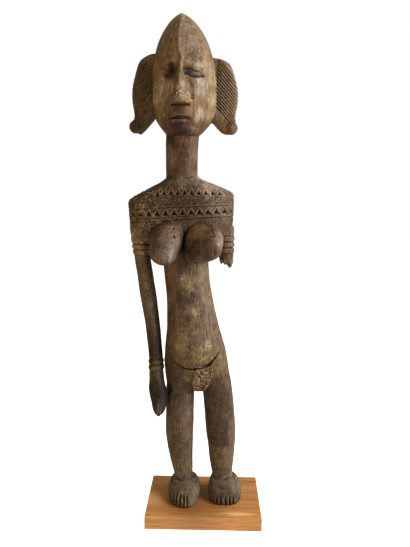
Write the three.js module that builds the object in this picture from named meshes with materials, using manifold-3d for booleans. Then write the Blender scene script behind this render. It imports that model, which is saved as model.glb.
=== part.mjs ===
// A standing female figure of the Bamana kind, carved from one block of hardwood, on a plank plinth.
// Millimetres, +Z up. The figure faces -Y, and its own left is +X. The origin is the centre of
// the plinth's underside. The left forearm is broken off, and the body leans a little to its right.
import * as THREE from "three";
import { mergeVertices } from "three/addons/utils/BufferGeometryUtils.js";
import Module from "manifold-3d";

const wasm = await Module();
wasm.setup();

const PLINTH = { width: 140, depth: 115, height: 16, arris: 0.8 };
const SOLE = PLINTH.height;
// The head looks a little to its own right, turned about an upright line through its middle.
const HEAD_AXIS = { x: -30, turn: THREE.MathUtils.degToRad(-5.5) };
const HEAD_TURN = new THREE.Matrix4()
  .makeTranslation(HEAD_AXIS.x, 0, 0)
  .multiply(new THREE.Matrix4().makeRotationZ(HEAD_AXIS.turn))
  .multiply(new THREE.Matrix4().makeTranslation(-HEAD_AXIS.x, 0, 0));
const YOKE_AXIS = -33;
const YOKE_TILT = 0.08;

// Each limb is a stack of level sections, read from the bottom up. The columns are the level,
// the centre x and y, the half width, the reach to the front, the reach to the back and the
// section's power: 2 is an ellipse, more is squarer and less is drawn out to an edge.
const HEAD = [
  [466.8, -31, 0, 18, 24, 18, 2.4],
  [469.5, -30.8, 0, 21.8, 28.5, 22, 2.1],
  [475, -30.4, 0, 26.8, 31.5, 27, 1.8],
  [482, -30, 0, 32.2, 33, 31, 1.65],
  [489, -29.8, 0, 35.8, 33.5, 34, 1.6],
  [502, -30, 0, 38.3, 33, 38, 1.55],
  [516, -30.2, 0, 38.7, 32, 41, 1.5],
  [530, -30.6, 0, 38.4, 31.5, 44, 1.5],
  [538, -31, 0, 37.8, 32.3, 45.5, 1.5],
  [548, -31.3, 0, 36.7, 37, 46, 1.5],
  [557, -31.6, 0, 34.9, 37.2, 46, 1.5],
  [571, -32.1, 0, 30.9, 34.5, 44.5, 1.5],
  [584, -32.6, 0, 25, 28, 41, 1.5],
  [592, -33, 0, 19.8, 23, 37.5, 1.5],
  [600, -33.3, 0, 12.8, 15.5, 31.5, 1.55],
  [605, -33.5, 0, 6.2, 9, 25, 1.7],
  [607.4, -33.6, 0, 1, 4, 18, 2],
];
const NOSE = [
  [499.5, -30.7, -26, 13.4, 19, 6, 2.2],
  [502, -30.7, -26, 14, 21.5, 6, 2],
  [507, -31, -26, 12.8, 21, 6, 1.8],
  [520, -31.6, -26, 9.8, 16.5, 6, 1.6],
  [535, -31, -26, 6.2, 12.5, 6, 1.5],
  [548, -30, -26, 3.2, 12, 6, 1.5],
];
const MUZZLE = [
  [474, -31.5, -8, 11, 22.5, 6, 2.3],
  [479, -31.8, -8, 15.5, 25.6, 6, 2.5],
  [488, -31.8, -8, 15.5, 26.4, 6, 2.5],
  [496, -31.5, -8, 11, 24, 6, 2.3],
];
const NECK = [
  [412, -32.2, 3, 19, 18.5, 18, 2],
  [440, -32.5, 2, 19.3, 18.5, 18.5, 2],
  [476, -31.6, 1, 20, 20, 20, 2],
];
const YOKE = [
  [345, -32, 4, 59.6, 22, 24, 3.2],
  [352, -32, 4, 61.4, 25.5, 26, 3.6],
  [366, -32, 4, 62.8, 27, 28, 4],
  [381, -32.3, 4, 63.6, 27, 28.5, 4],
  [391, -32.7, 4, 64, 26.5, 28, 4],
  [395, -33, 4, 62.6, 26, 27.5, 4],
  [398, -33, 4, 58.4, 25.6, 27, 3.8],
  [407.5, -33, 4, 39.4, 24, 25, 3],
  [414, -32.8, 3.5, 25.4, 21, 21, 2.4],
  [418, -32.4, 3, 18.8, 18, 18, 2],
];
const TORSO = [
  [157, -8.5, 7, 38, 17, 28, 2.5],
  [163, -9.2, 7, 39.6, 20, 31, 2.5],
  [175, -10.5, 6, 40.5, 24.5, 34, 2.4],
  [190, -12.1, 5, 39.7, 27.5, 34, 2.3],
  [205, -13.2, 4, 38.2, 27.5, 31, 2.2],
  [220, -14.8, 3.5, 35.6, 26, 27, 2.1],
  [235, -16.4, 3, 32.6, 24, 23, 2.1],
  [250, -18.4, 3, 30.7, 22, 20.5, 2.1],
  [265, -20.3, 3, 29, 21, 19, 2.1],
  [295, -24.4, 3, 27.6, 20, 18, 2.1],
  [312, -26.2, 3, 28, 20, 18.5, 2.1],
  [326, -28.5, 3.5, 32, 22, 20, 2.2],
  [338, -30.5, 4, 39, 24, 21.5, 2.5],
  [348, -32, 4, 50, 25, 22.5, 2.8],
  [356, -32, 4, 52, 23, 21, 2.8],
];
const BELLY_RISE = 0.08;
const BELLY = [
  [185.5, -17.5, -2, 7, 16, 8, 2.1],
  [187.5, -17.5, -2, 13, 21, 10, 2.1],
  [191, -17.3, -2, 19, 25, 12, 2.1],
  [197, -17, -2, 25, 27.5, 14, 2.2],
  [206, -16.5, -2, 30, 28.6, 16, 2.2],
  [218, -16, -2, 31.6, 28.2, 16, 2.2],
  [234, -16.6, -1, 30.4, 26.4, 16, 2.1],
  [250, -18.2, 0, 28.6, 24, 15, 2.1],
  [266, -20, 1, 26.5, 21.2, 14, 2.1],
  [284, -22.5, 2.2, 25, 17.6, 13, 2.1],
];
const RIGHT_LEG = [
  [30, -26, 4, 11.4, 11, 13, 2.2],
  [46, -26.6, 2.5, 12, 12, 13.5, 2.2],
  [54, -27.6, 2, 13, 13, 15.5, 2.2],
  [70, -29.7, 2, 14.8, 14.5, 19, 2.2],
  [86, -31.3, 2, 16.5, 16.5, 19.5, 2.2],
  [102, -31.9, 1, 17.5, 18.5, 18.5, 2.3],
  [117, -31.8, 1.5, 17.8, 19, 19, 2.3],
  [133, -31.8, 3, 17.8, 19.5, 21.5, 2.3],
  [149, -31.8, 5, 17.8, 20, 24.5, 2.4],
  [172, -30, 7, 18.5, 20, 28, 2.4],
  [186, -27.5, 6.5, 18, 20, 27, 2.4],
  [198, -24.5, 6, 16.5, 17, 24, 2.4],
];
const LEFT_LEG = [
  [30, 23.4, 4, 12, 11.5, 13, 2.2],
  [46, 22.7, 2.5, 12.8, 12.5, 13.5, 2.2],
  [54, 22.2, 2, 13.8, 13.5, 15.5, 2.2],
  [70, 21.6, 2, 15.9, 15, 19, 2.2],
  [86, 21.2, 2, 17.3, 16.5, 19.5, 2.2],
  [102, 20.2, 1, 18.7, 18.5, 19, 2.3],
  [117, 19, 1.5, 18.9, 19, 19.5, 2.3],
  [133, 17.5, 3, 18.8, 19.5, 22, 2.3],
  [149, 15.8, 5, 18.8, 20, 25, 2.4],
  [172, 10.6, 7, 20.3, 20.5, 28.5, 2.4],
  [184, 7.6, 6.5, 20, 20.5, 28, 2.4],
  [198, 3.5, 6, 18, 17, 24, 2.4],
];
const RIGHT_ARM = [
  [124.5, -57.4, -15, 2.2, 2.2, 2, 2],
  [128, -57.2, -14.6, 5, 3.8, 3.4, 2],
  [133, -56.9, -14, 7.7, 5.2, 4.6, 1.9],
  [141, -56.9, -13, 9.6, 6.6, 5.6, 1.8],
  [149, -57.7, -12, 10.8, 7.6, 6.6, 1.8],
  [159, -59.1, -11, 11.2, 8.4, 7.2, 1.8],
  [168, -60, -10, 9.8, 8.4, 7.8, 2],
  [194, -61.3, -6, 8.8, 8.8, 8.6, 2],
  [211, -63.4, -2, 9, 9.2, 9.4, 2],
  [234, -66.2, 2, 9.3, 9.8, 10, 2],
  [256, -69.8, 5, 9.8, 10.6, 10.8, 2],
  [279, -73.6, 6, 10.3, 11.2, 11.6, 2],
  [301, -76.8, 6, 9.9, 11.6, 12, 2],
  [316, -79.2, 5.5, 10, 12, 12.4, 2],
  [346, -81.8, 5, 11.4, 13.6, 14, 2.2],
  [360, -82.4, 5, 12, 16, 17, 2.4],
];
const LEFT_ARM = [
  [315.5, 23.4, 5, 8, 10.2, 10.6, 2],
  [322, 23.2, 5, 8.8, 11.2, 11.6, 2],
  [334, 21.6, 5, 10.4, 12.4, 12.8, 2],
  [346, 20.6, 5, 11.5, 13.6, 14, 2.2],
  [360, 20.2, 5, 12, 16, 17, 2.4],
];
const SPLINTER = [
  [308.4, 27.4, 3.5, 0.8, 1, 1, 2],
  [312, 27.8, 3.5, 3.2, 4, 4, 2],
  [320, 27.8, 3.5, 4.2, 6.5, 6.5, 2],
];
// Raised rings on the limbs: the level of the middle, the height and how far it stands out.
const RIGHT_ARMLETS = [
  [341.6, 8.6, 1.3],
  [333.8, 6, 1.3],
  [327, 6.4, 1.2],
];
const WRIST_RINGS = [
  [193, 6.2, 1.2],
  [186, 6.6, 1.3],
];
const LEFT_ARMLETS = [
  [345, 6.4, 1],
  [337.8, 6.4, 1.1],
  [330.6, 6.2, 1.1],
];
const RIGHT_FOOT = [
  [SOLE, -25.4, 2, 19.4, 36.5, 27, 2.5],
  [SOLE + 4, -25.4, 2, 20.2, 38.5, 28.5, 2.5],
  [SOLE + 9, -25.4, 2, 20.3, 36.5, 28.5, 2.5],
  [SOLE + 14, -25.2, 2, 19.8, 29, 27.5, 2.4],
  [SOLE + 19, -25, 3, 18.4, 21.5, 25, 2.3],
  [SOLE + 23, -25.2, 4, 16, 17.5, 21, 2.2],
  [SOLE + 25.5, -25.5, 4, 13, 13.5, 17, 2.1],
];
const LEFT_FOOT = [
  [SOLE, 26.4, 2, 20, 28.5, 28, 2.5],
  [SOLE + 4, 26.4, 2, 21, 30.5, 29.5, 2.5],
  [SOLE + 9, 26.4, 2, 21.2, 29, 29.5, 2.5],
  [SOLE + 14, 26.2, 2, 20.6, 23.5, 28.5, 2.4],
  [SOLE + 19, 25.8, 3, 19.4, 19.5, 26, 2.3],
  [SOLE + 24, 25.2, 4, 17, 16.5, 22, 2.2],
  [SOLE + 27, 24.6, 4, 14, 13.5, 18, 2.1],
];
// How far the toes fall back towards the outer side, how the inner side is rounded off, and where
// the cuts between the toes lie.
const RIGHT_TOES = { slant: -0.42, trim: 0.032, cuts: [-35.5, -30.2, -24.8, -18.6], front: -29, turn: 0.45 };
const LEFT_TOES = { slant: -0.05, trim: 0, cuts: [20.4, 26.8, 32.4, 36.8], front: -27, turn: 0.05 };

// The right breast is a long rounded cone that droops a little. The left one is a blunt block,
// drawn back on its inner side. Slant, rise and droop are millimetres for each millimetre.
const RIGHT_BREAST = [
  [316.3, -50.2, -30, 6.5, 19, 10, 2],
  [318, -50.6, -27, 11.5, 27, 10, 2],
  [321, -50.8, -24, 15.4, 33.5, 10, 2.05],
  [325.5, -50.4, -21, 18, 38.5, 10, 2.1],
  [331, -49.6, -19, 19.4, 41, 10, 2.15],
  [338, -48.7, -17.5, 20, 40.5, 10, 2.2],
  [345, -48.2, -17, 20, 36.5, 10, 2.2],
  [351, -47.6, -16, 18.9, 30.5, 10, 2.2],
  [355.5, -46, -16, 16.4, 24.5, 10, 2.1],
  [359, -44.3, -16, 12.8, 18, 10, 2.1],
  [362, -43, -16, 8, 12.5, 10, 2],
  [363.8, -42.5, -16, 4.5, 9, 8, 2],
];
const LEFT_BREAST = [
  [318.5, -7, -14, 13, 24, 6, 2.6],
  [320.5, -6, -14, 18, 32, 6, 2.8],
  [324, -5, -14, 21, 38, 6, 3],
  [330, -4.6, -14, 22.8, 42, 6, 3],
  [337, -4.4, -14, 23.4, 43, 6, 3],
  [343, -4.4, -14, 23.4, 42, 6, 2.9],
  [349, -4.8, -14, 22.4, 37.5, 6, 2.7],
  [355, -5.2, -14, 20.6, 31, 6, 2.5],
  [360, -6, -14, 17.5, 23, 6, 2.4],
  [364, -6.5, -14, 12, 15, 6, 2.2],
  [366.5, -7, -14, 6, 10, 6, 2],
];
const RIGHT_BREAST_SET = { slant: 0, rise: 0, droop: 0.15 };
const LEFT_BREAST_SET = { slant: -0.45, rise: 0.18, droop: 0 };
const NIPPLE_Y = -45;

// A hair lobe is a thick half disc beside the head that ends in a knob. Its flutes run outwards
// and down, so it is read across them, from the jaw to the top: the height of a line along the
// flutes, and where that line enters and leaves the lobe.
const LOBE_FALL = THREE.MathUtils.degToRad(48);
const LOBE = [
  [347.5, -351, -322],
  [350, -354, -316],
  [354, -360, -313],
  [362, -368, -311.5],
  [366.5, -374, -313.5],
  [369.5, -378, -319],
  [373.4, -381.4, -324.3],
  [384.5, -394.2, -333.2],
  [394.2, -399, -343.3],
  [401.5, -393.5, -355.5],
  [407, -385, -367.5],
  [409.2, -378.5, -373],
];
const LOBE_Y = 8;
const LOBE_HALF_THICKNESS = 8;
const FLUTES = { from: 364, pitch: 2.9, count: 14, depth: 1.1 };
const KNOB_RADIUS = 8.5;
// The two lobes are not quite alike: where each starts, how much taller and further out it is
// than the table, and where its knob is.
const LEFT_LOBE = { side: 1, lowest: 347.5, stretch: 0.97, out: 0.2, knob: { out: 55.2, level: 477.4 } };
const RIGHT_LOBE = { side: -1, lowest: 352.6, stretch: 1.04, out: 1.8, knob: { out: 60.2, level: 478.6 } };

// Two rows of chips: where the row starts and ends across the chest, its level in the middle,
// its slope, how it sags over the right shoulder, and the size of a chip.
const UPPER_ROW = { from: -0.392, to: 0.408, count: 14, level: 399.6, tilt: -0.02, sag: 0.006, size: 3.7, depth: 2.2 };
const LOWER_ROW = { from: -0.567, to: 0.608, count: 17, level: 373.5, tilt: 0.08, sag: 0, size: 4.5, depth: 2.6 };

// The small carved panel in front of the hips.
const PANEL = { x: -3, y: -25.8, top: 191, tilt: 0.22, thickness: 12 };

// The value of every column of a stack at a level, by a monotone cubic through the stations.
function sectionAt(stations, level) {
  const last = stations.length - 1;
  const slope = (i, c) => (stations[i + 1][c] - stations[i][c]) / (stations[i + 1][0] - stations[i][0]);
  const tangent = (i, c) => {
    if (i === 0) return slope(0, c);
    if (i === last) return slope(last - 1, c);
    const below = slope(i - 1, c);
    const above = slope(i, c);
    return below * above <= 0 ? 0 : (2 * below * above) / (below + above);
  };
  let i = 0;
  while (i < last - 1 && level > stations[i + 1][0]) i += 1;
  const step = stations[i + 1][0] - stations[i][0];
  const t = THREE.MathUtils.clamp((level - stations[i][0]) / step, 0, 1);
  return stations[i].map((value, c) => {
    if (c === 0) return level;
    const next = stations[i + 1][c];
    const bend = t * t * (3 - 2 * t);
    const lead = t * (1 - t) * (1 - t) * tangent(i, c);
    const trail = t * t * (t - 1) * tangent(i + 1, c);
    return value + (next - value) * bend + step * (lead + trail);
  });
}

// A point on a section at an angle, counted from +X towards +Y. The back half is always an ellipse
// or squarer, so that only the front is drawn out to an edge.
function onSection([level, x, y, halfWidth, front, back, power], angle) {
  const c = Math.cos(angle);
  const s = Math.sin(angle);
  const p = s < 0 ? power : Math.max(power, 2);
  const away = (v) => Math.sign(v) * Math.abs(v) ** (2 / p);
  return new THREE.Vector3(x + halfWidth * away(c), y + (s < 0 ? front : back) * away(s), level);
}

// A closed stack of sections at the given levels. Corners that follow one another round a
// section and up the stack are joined in pairs of triangles, and both ends are fans.
function tower(stations, sides, levels) {
  const points = [];
  const faces = [];
  levels.forEach((level) => {
    const section = Array.isArray(level) ? level : sectionAt(stations, level);
    for (let j = 0; j < sides; j += 1) points.push(onSection(section, (2 * Math.PI * (j - 0.25 * sides)) / sides));
  });
  for (let k = 0; k < levels.length - 1; k += 1) {
    for (let j = 0; j < sides; j += 1) {
      const a = k * sides + j;
      const b = k * sides + ((j + 1) % sides);
      faces.push(a, b, b + sides, a, b + sides, a + sides);
    }
  }
  const top = (levels.length - 1) * sides;
  for (let j = 1; j < sides - 1; j += 1) {
    faces.push(0, j + 1, j);
    faces.push(top, top + j, top + j + 1);
  }
  const geometry = new THREE.BufferGeometry().setFromPoints(points);
  geometry.setIndex(faces);
  return geometry;
}

const levelsOf = (stations) => stations.map(([level]) => level);

// The levels of a limb with raised rings on it: each ring is three sections, the middle one wider.
function ringedLevels(stations, rings) {
  const clear = levelsOf(stations).filter((z) => rings.every(([mid, high]) => Math.abs(z - mid) > high / 2 + 1));
  const ringed = rings.flatMap(([mid, high, rise]) =>
    [-0.5, -0.22, 0.22, 0.5].map((share) => {
      const section = sectionAt(stations, mid + share * high);
      const out = Math.abs(share) < 0.3 ? rise : 0;
      return section.map((value, c) => (c >= 3 && c <= 5 ? value + out : value));
    }),
  );
  const height = (level) => (Array.isArray(level) ? level[0] : level);
  return [...clear, ...ringed].sort((a, b) => height(a) - height(b));
}

// A three.js geometry as a solid, placed by a matrix. A mirroring matrix has its faces turned round.
function solidOf(geometry, matrix = new THREE.Matrix4()) {
  const placed = geometry.clone().applyMatrix4(matrix);
  placed.deleteAttribute("normal");
  placed.deleteAttribute("uv");
  const merged = mergeVertices(placed, 1e-4);
  const triVerts = new Uint32Array(merged.index.array);
  if (matrix.determinant() < 0) {
    for (let i = 0; i < triVerts.length; i += 3) [triVerts[i + 1], triVerts[i + 2]] = [triVerts[i + 2], triVerts[i + 1]];
  }
  return new wasm.Manifold(
    new wasm.Mesh({ numProp: 3, vertProperties: merged.attributes.position.array, triVerts }),
  );
}

function geometryOf(solid) {
  const { vertProperties, triVerts } = solid.getMesh();
  const geometry = new THREE.BufferGeometry();
  geometry.setAttribute("position", new THREE.BufferAttribute(vertProperties, 3));
  geometry.setIndex(new THREE.BufferAttribute(triVerts, 1));
  geometry.computeVertexNormals();
  return geometry;
}

// Moves every vertex by a function of its place, for slants that a matrix can't give.
function reshape(geometry, move) {
  const position = geometry.getAttribute("position");
  const v = new THREE.Vector3();
  for (let i = 0; i < position.count; i += 1) {
    v.fromBufferAttribute(position, i);
    move(v);
    position.setXYZ(i, v.x, v.y, v.z);
  }
  return geometry;
}

// Draws the front of a stack back towards one side of its middle, slant for each millimetre
// across. The trim rounds off the other side, by the square of how far across a place is.
function drawBack(geometry, [, x, y, , reach], { slant, trim = 0 }) {
  return reshape(geometry, (v) => {
    const ahead = Math.max(y - v.y, 0) / reach;
    const across = v.x - x;
    v.y += ahead * (slant * across + trim * Math.max(across, 0) ** 2);
  });
}

function boxAt([x, y, z], [width, depth, height], turn = new THREE.Euler()) {
  const matrix = new THREE.Matrix4().makeRotationFromEuler(turn).setPosition(x, y, z);
  return solidOf(new THREE.BoxGeometry(width, depth, height), matrix);
}

// The head: a tall pointed wedge with a sharp ridge down its front, a long nose, and slits for
// the eyes and the mouth.
function head() {
  const eye = (side) =>
    boxAt([-32 + side * 14, -28.5, 534.5], [18, 6, 2], new THREE.Euler(0, side * 0.25, side * 0.5));
  const mouth = boxAt([-34.8, -36, 484.6], [26, 5, 2], new THREE.Euler(0, 0, HEAD_AXIS.turn));
  return solidOf(tower(HEAD, 20, levelsOf(HEAD)), HEAD_TURN)
    .add(solidOf(tower(NOSE, 10, levelsOf(NOSE)), HEAD_TURN))
    .add(solidOf(tower(MUZZLE, 14, levelsOf(MUZZLE)), HEAD_TURN))
    .subtract(eye(1))
    .subtract(eye(-1))
    .subtract(mouth);
}

// A hair lobe and the knob below it. Each flute is one pair of sections.
function hairLobe({ side, lowest, stretch, out, knob }) {
  const along = new THREE.Vector2(Math.cos(LOBE_FALL), -Math.sin(LOBE_FALL));
  const across = new THREE.Vector2(Math.sin(LOBE_FALL), Math.cos(LOBE_FALL));
  const section = (height, cut) => {
    const [, enter, leave] = sectionAt(LOBE, height);
    const half = (leave - cut - enter) / 2;
    const thick = (LOBE_HALF_THICKNESS - cut) * Math.min(1, (half / 14) ** 0.5);
    return [height, enter + half, LOBE_Y, half, thick, thick, 2.6];
  };
  const { from, pitch, count, depth } = FLUTES;
  const fluted = Array.from({ length: 2 * count }, (_, i) => section(from + (i * pitch) / 2, i % 2 ? depth : 0));
  const plain = [lowest, ...levelsOf(LOBE).filter((height) => height > lowest + 1)].filter(
    (height) => height < from - 1 || height > from + count * pitch,
  );
  const levels = [...fluted, ...plain.map((height) => section(height, 0))].sort((a, b) => a[0] - b[0]);
  const frame = new THREE.Matrix4()
    .makeTranslation(HEAD_AXIS.x + side * out, 0, knob.level)
    .multiply(new THREE.Matrix4().makeScale(side, 1, stretch))
    .multiply(new THREE.Matrix4().makeTranslation(0, 0, -knob.level))
    .multiply(
      new THREE.Matrix4().makeBasis(
        new THREE.Vector3(along.x, 0, along.y),
        new THREE.Vector3(0, 1, 0),
        new THREE.Vector3(across.x, 0, across.y),
      ),
    );
  const ball = new THREE.SphereGeometry(KNOB_RADIUS, 10, 7);
  ball.translate(HEAD_AXIS.x + side * knob.out, LOBE_Y, knob.level);
  return solidOf(tower(null, 10, levels), HEAD_TURN.clone().multiply(frame)).add(solidOf(ball, HEAD_TURN));
}

// A triangular chip to cut out of the chest, point up, narrowing inwards.
function chip(place, outwards, size, depth) {
  const wedge = new THREE.CylinderGeometry(size * 1.6, size * 0.4, 2 * depth, 3, 1);
  const sideways = new THREE.Vector3().crossVectors(outwards, new THREE.Vector3(0, 0, 1));
  const basis = new THREE.Matrix4().makeBasis(sideways, outwards, new THREE.Vector3(0, 0, 1).negate());
  return solidOf(wedge, basis.setPosition(place).multiply(new THREE.Matrix4().makeRotationY(Math.PI)));
}

// A row of chips round the front of the shoulder block, placed by their share of a half turn from
// the middle. The block leans, so the level of each is found from where it stands across it.
function chipRow({ from, to, count, level, tilt, sag, size, depth }) {
  const placeAt = (share) => {
    const angle = Math.PI * (share - 0.5);
    let place = new THREE.Vector3(YOKE_AXIS, 0, 0);
    for (let pass = 0; pass < 6; pass += 1) {
      const out = place.x - YOKE_AXIS;
      const wanted = level + tilt * out - sag * Math.min(out + 15, 0) ** 2;
      place = onSection(sectionAt(YOKE, wanted - YOKE_TILT * out), angle);
      place.z = wanted;
    }
    return place;
  };
  const trail = Array.from({ length: 301 }, (_, i) => placeAt(from + ((to - from) * i) / 300));
  const lengths = [0];
  for (let i = 1; i < trail.length; i += 1) lengths.push(lengths[i - 1] + trail[i].distanceTo(trail[i - 1]));
  return Array.from({ length: count }, (_, n) => {
    const i = lengths.findIndex((length) => length >= ((n + 0.5) / count) * lengths[300]);
    const stride = trail[i].clone().sub(trail[i - 1]);
    return chip(trail[i], new THREE.Vector3(stride.y, -stride.x, 0).normalize(), size, depth);
  });
}

// The shoulder block with its bands of chip carving.
function shoulders() {
  const block = reshape(tower(YOKE, 36, levelsOf(YOKE)), (v) => {
    v.z += YOKE_TILT * (v.x - YOKE_AXIS);
  });
  return [...chipRow(UPPER_ROW), ...chipRow(LOWER_ROW)].reduce((solid, cut) => solid.subtract(cut), solidOf(block));
}

// A breast: a stack that rises across the chest, and from its nipple back towards the chest.
function breast(stations, { slant, rise, droop }) {
  const widest = stations.reduce((best, station) => (station[4] > best[4] ? station : best));
  const stack = reshape(tower(stations, 16, levelsOf(stations)), (v) => {
    v.z += rise * (v.x - widest[1]) + droop * (v.y - NIPPLE_Y);
  });
  return solidOf(drawBack(stack, widest, { slant }));
}

// The hips, waist and chest, with the belly standing out over its fold.
function trunk() {
  const belly = reshape(tower(BELLY, 16, levelsOf(BELLY)), (v) => {
    v.z += BELLY_RISE * (v.x - BELLY[0][1]);
  });
  return solidOf(tower(TORSO, 20, levelsOf(TORSO))).add(solidOf(belly));
}

// The right arm with its armlets and wrist rings, and the shallow cuts between the fingers.
function rightArm() {
  const rings = [...RIGHT_ARMLETS, ...WRIST_RINGS];
  const arm = solidOf(tower(RIGHT_ARM, 12, ringedLevels(RIGHT_ARM, rings)));
  const cuts = [-61.2, -57.4, -53.8].map((x) =>
    boxAt([x, -19, 130], [1, 6, 24], new THREE.Euler(0.1, (x + 57.6) * 0.03, 0)),
  );
  return cuts.reduce((solid, cut) => solid.subtract(cut), arm);
}

// The left arm, broken below its armlets with one long splinter.
function leftArm() {
  return solidOf(tower(LEFT_ARM, 12, ringedLevels(LEFT_ARM, LEFT_ARMLETS))).add(
    solidOf(tower(SPLINTER, 8, levelsOf(SPLINTER))),
  );
}

// A foot: a low dome, drawn back on its outer side, with cuts between the toes.
function foot(stations, { slant, trim, cuts, front, turn }) {
  const [, x] = stations[0];
  const dome = drawBack(tower(stations, 20, levelsOf(stations)), stations[1], { slant, trim });
  const toes = cuts.map((cut) => {
    const back = front + slant * (cut - x);
    return boxAt([cut, back, SOLE + 7], [1.2, 13, 16], new THREE.Euler(0.3, 0, turn * 0.1 + (cut - x) * 0.012));
  });
  return toes.reduce((solid, cut) => solid.subtract(cut), solidOf(dome));
}

// The carved panel under the belly, with three grooves across it.
function panel() {
  const { x, y, top, tilt, thickness } = PANEL;
  const outline = [
    [-10, -3],
    [-13.5, -24],
    [-12, -34.5],
    [1, -34.5],
    [7, -27],
    [11, -14],
    [12.5, 2],
  ];
  const shield = new THREE.Shape(outline.map(([across, up]) => new THREE.Vector2(across, up)));
  const flat = new THREE.ExtrudeGeometry(shield, { depth: thickness, bevelEnabled: false });
  const upright = new THREE.Matrix4()
    .makeTranslation(x, y, top)
    .multiply(new THREE.Matrix4().makeRotationX(Math.PI / 2 + tilt))
    .multiply(new THREE.Matrix4().makeTranslation(0, 0, -thickness));
  const grooves = [10, 17, 24].map((drop) =>
    boxAt([x, y + drop * tilt, top - drop], [34, 1.8, 1.8], new THREE.Euler(tilt + Math.PI / 4, 0, 0)),
  );
  return grooves.reduce((solid, cut) => solid.subtract(cut), solidOf(flat, upright));
}

function figure() {
  const pieces = [
    head(),
    solidOf(tower(NECK, 20, levelsOf(NECK))),
    hairLobe(LEFT_LOBE),
    hairLobe(RIGHT_LOBE),
    shoulders(),
    breast(RIGHT_BREAST, RIGHT_BREAST_SET),
    breast(LEFT_BREAST, LEFT_BREAST_SET),
    rightArm(),
    leftArm(),
    trunk(),
    panel(),
    solidOf(tower(RIGHT_LEG, 16, levelsOf(RIGHT_LEG))),
    solidOf(tower(LEFT_LEG, 16, levelsOf(LEFT_LEG))),
    foot(RIGHT_FOOT, RIGHT_TOES),
    foot(LEFT_FOOT, LEFT_TOES),
  ];
  return pieces.reduce((whole, piece) => whole.add(piece));
}

// A sawn plank with its arrises just taken off, level with the soles on top.
function plinth() {
  const { width, depth, height, arris } = PLINTH;
  const outline = new THREE.Shape()
    .moveTo(-width / 2 + arris, -depth / 2 + arris)
    .lineTo(width / 2 - arris, -depth / 2 + arris)
    .lineTo(width / 2 - arris, depth / 2 - arris)
    .lineTo(-width / 2 + arris, depth / 2 - arris)
    .closePath();
  const plank = new THREE.ExtrudeGeometry(outline, {
    depth: height - 2 * arris,
    bevelSize: arris,
    bevelThickness: arris,
    bevelSegments: 1,
  });
  return plank.translate(0, 0, arris);
}

const carvedWood = new THREE.MeshStandardMaterial({ name: "carved_wood", color: 0x5b4a3a, roughness: 0.75 });
const plankWood = new THREE.MeshStandardMaterial({ name: "plank_wood", color: 0xb9814c, roughness: 0.5 });

const figureMesh = new THREE.Mesh(geometryOf(figure()), carvedWood);
figureMesh.name = "carved_figure";

const plinthMesh = new THREE.Mesh(plinth(), plankWood);
plinthMesh.name = "plinth";

const group = new THREE.Group();
group.add(plinthMesh, figureMesh);

export default group;
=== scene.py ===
import math

import bpy
import numpy as np
from mathutils import Matrix, Vector


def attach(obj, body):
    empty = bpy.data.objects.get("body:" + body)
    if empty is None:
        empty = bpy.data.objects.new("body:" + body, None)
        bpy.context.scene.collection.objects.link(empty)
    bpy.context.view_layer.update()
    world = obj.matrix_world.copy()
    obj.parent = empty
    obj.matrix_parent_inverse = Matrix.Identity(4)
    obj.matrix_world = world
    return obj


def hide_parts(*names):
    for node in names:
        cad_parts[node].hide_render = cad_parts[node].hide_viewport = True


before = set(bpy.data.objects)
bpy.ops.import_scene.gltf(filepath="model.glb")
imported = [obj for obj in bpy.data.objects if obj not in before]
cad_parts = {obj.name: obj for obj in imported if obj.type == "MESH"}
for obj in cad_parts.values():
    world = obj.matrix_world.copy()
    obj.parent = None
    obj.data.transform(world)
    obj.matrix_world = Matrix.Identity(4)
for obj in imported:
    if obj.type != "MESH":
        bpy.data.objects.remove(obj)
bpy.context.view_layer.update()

# Camera: a viewer close in front, level with the chest, looking slightly down and held a
# little off level. The length of the lens is for a frame with a long side of 36 mm.
LONG_SIDE = 36
LENS = 41.97
CAMERA_PLACE = (0.0058, -0.7763, 0.3941)
YAW = math.radians(0.62)
DOWN = math.radians(6.78)
ROLL = math.radians(0.82)
scene = bpy.context.scene
camera = bpy.data.objects.new("camera", bpy.data.cameras.new("camera"))
scene.collection.objects.link(camera)
scene.camera = camera
camera.data.sensor_width = LONG_SIDE
camera.data.lens = LENS
looking = Vector((-math.sin(YAW) * math.cos(DOWN), math.cos(YAW) * math.cos(DOWN), -math.sin(DOWN)))
camera.matrix_world = (
    Matrix.Translation(CAMERA_PLACE)
    @ looking.to_track_quat("-Z", "Y").to_matrix().to_4x4()
    @ Matrix.Rotation(ROLL, 4, "Z")
)

# The head: a tall wedge hewn from the top of the block, with a ridge down its brow, a long flat
# nose and a narrow mouth. The whole figure is roughed out in millimetres, as stacks of sections
# kept in wood. The knife work is kept in cuts, each with the lowest and highest level it reaches.
MM = 0.001
wood = []
cuts = []
HEAD_MIDDLE = -30
HEAD_TURN = math.radians(-5.5)
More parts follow.
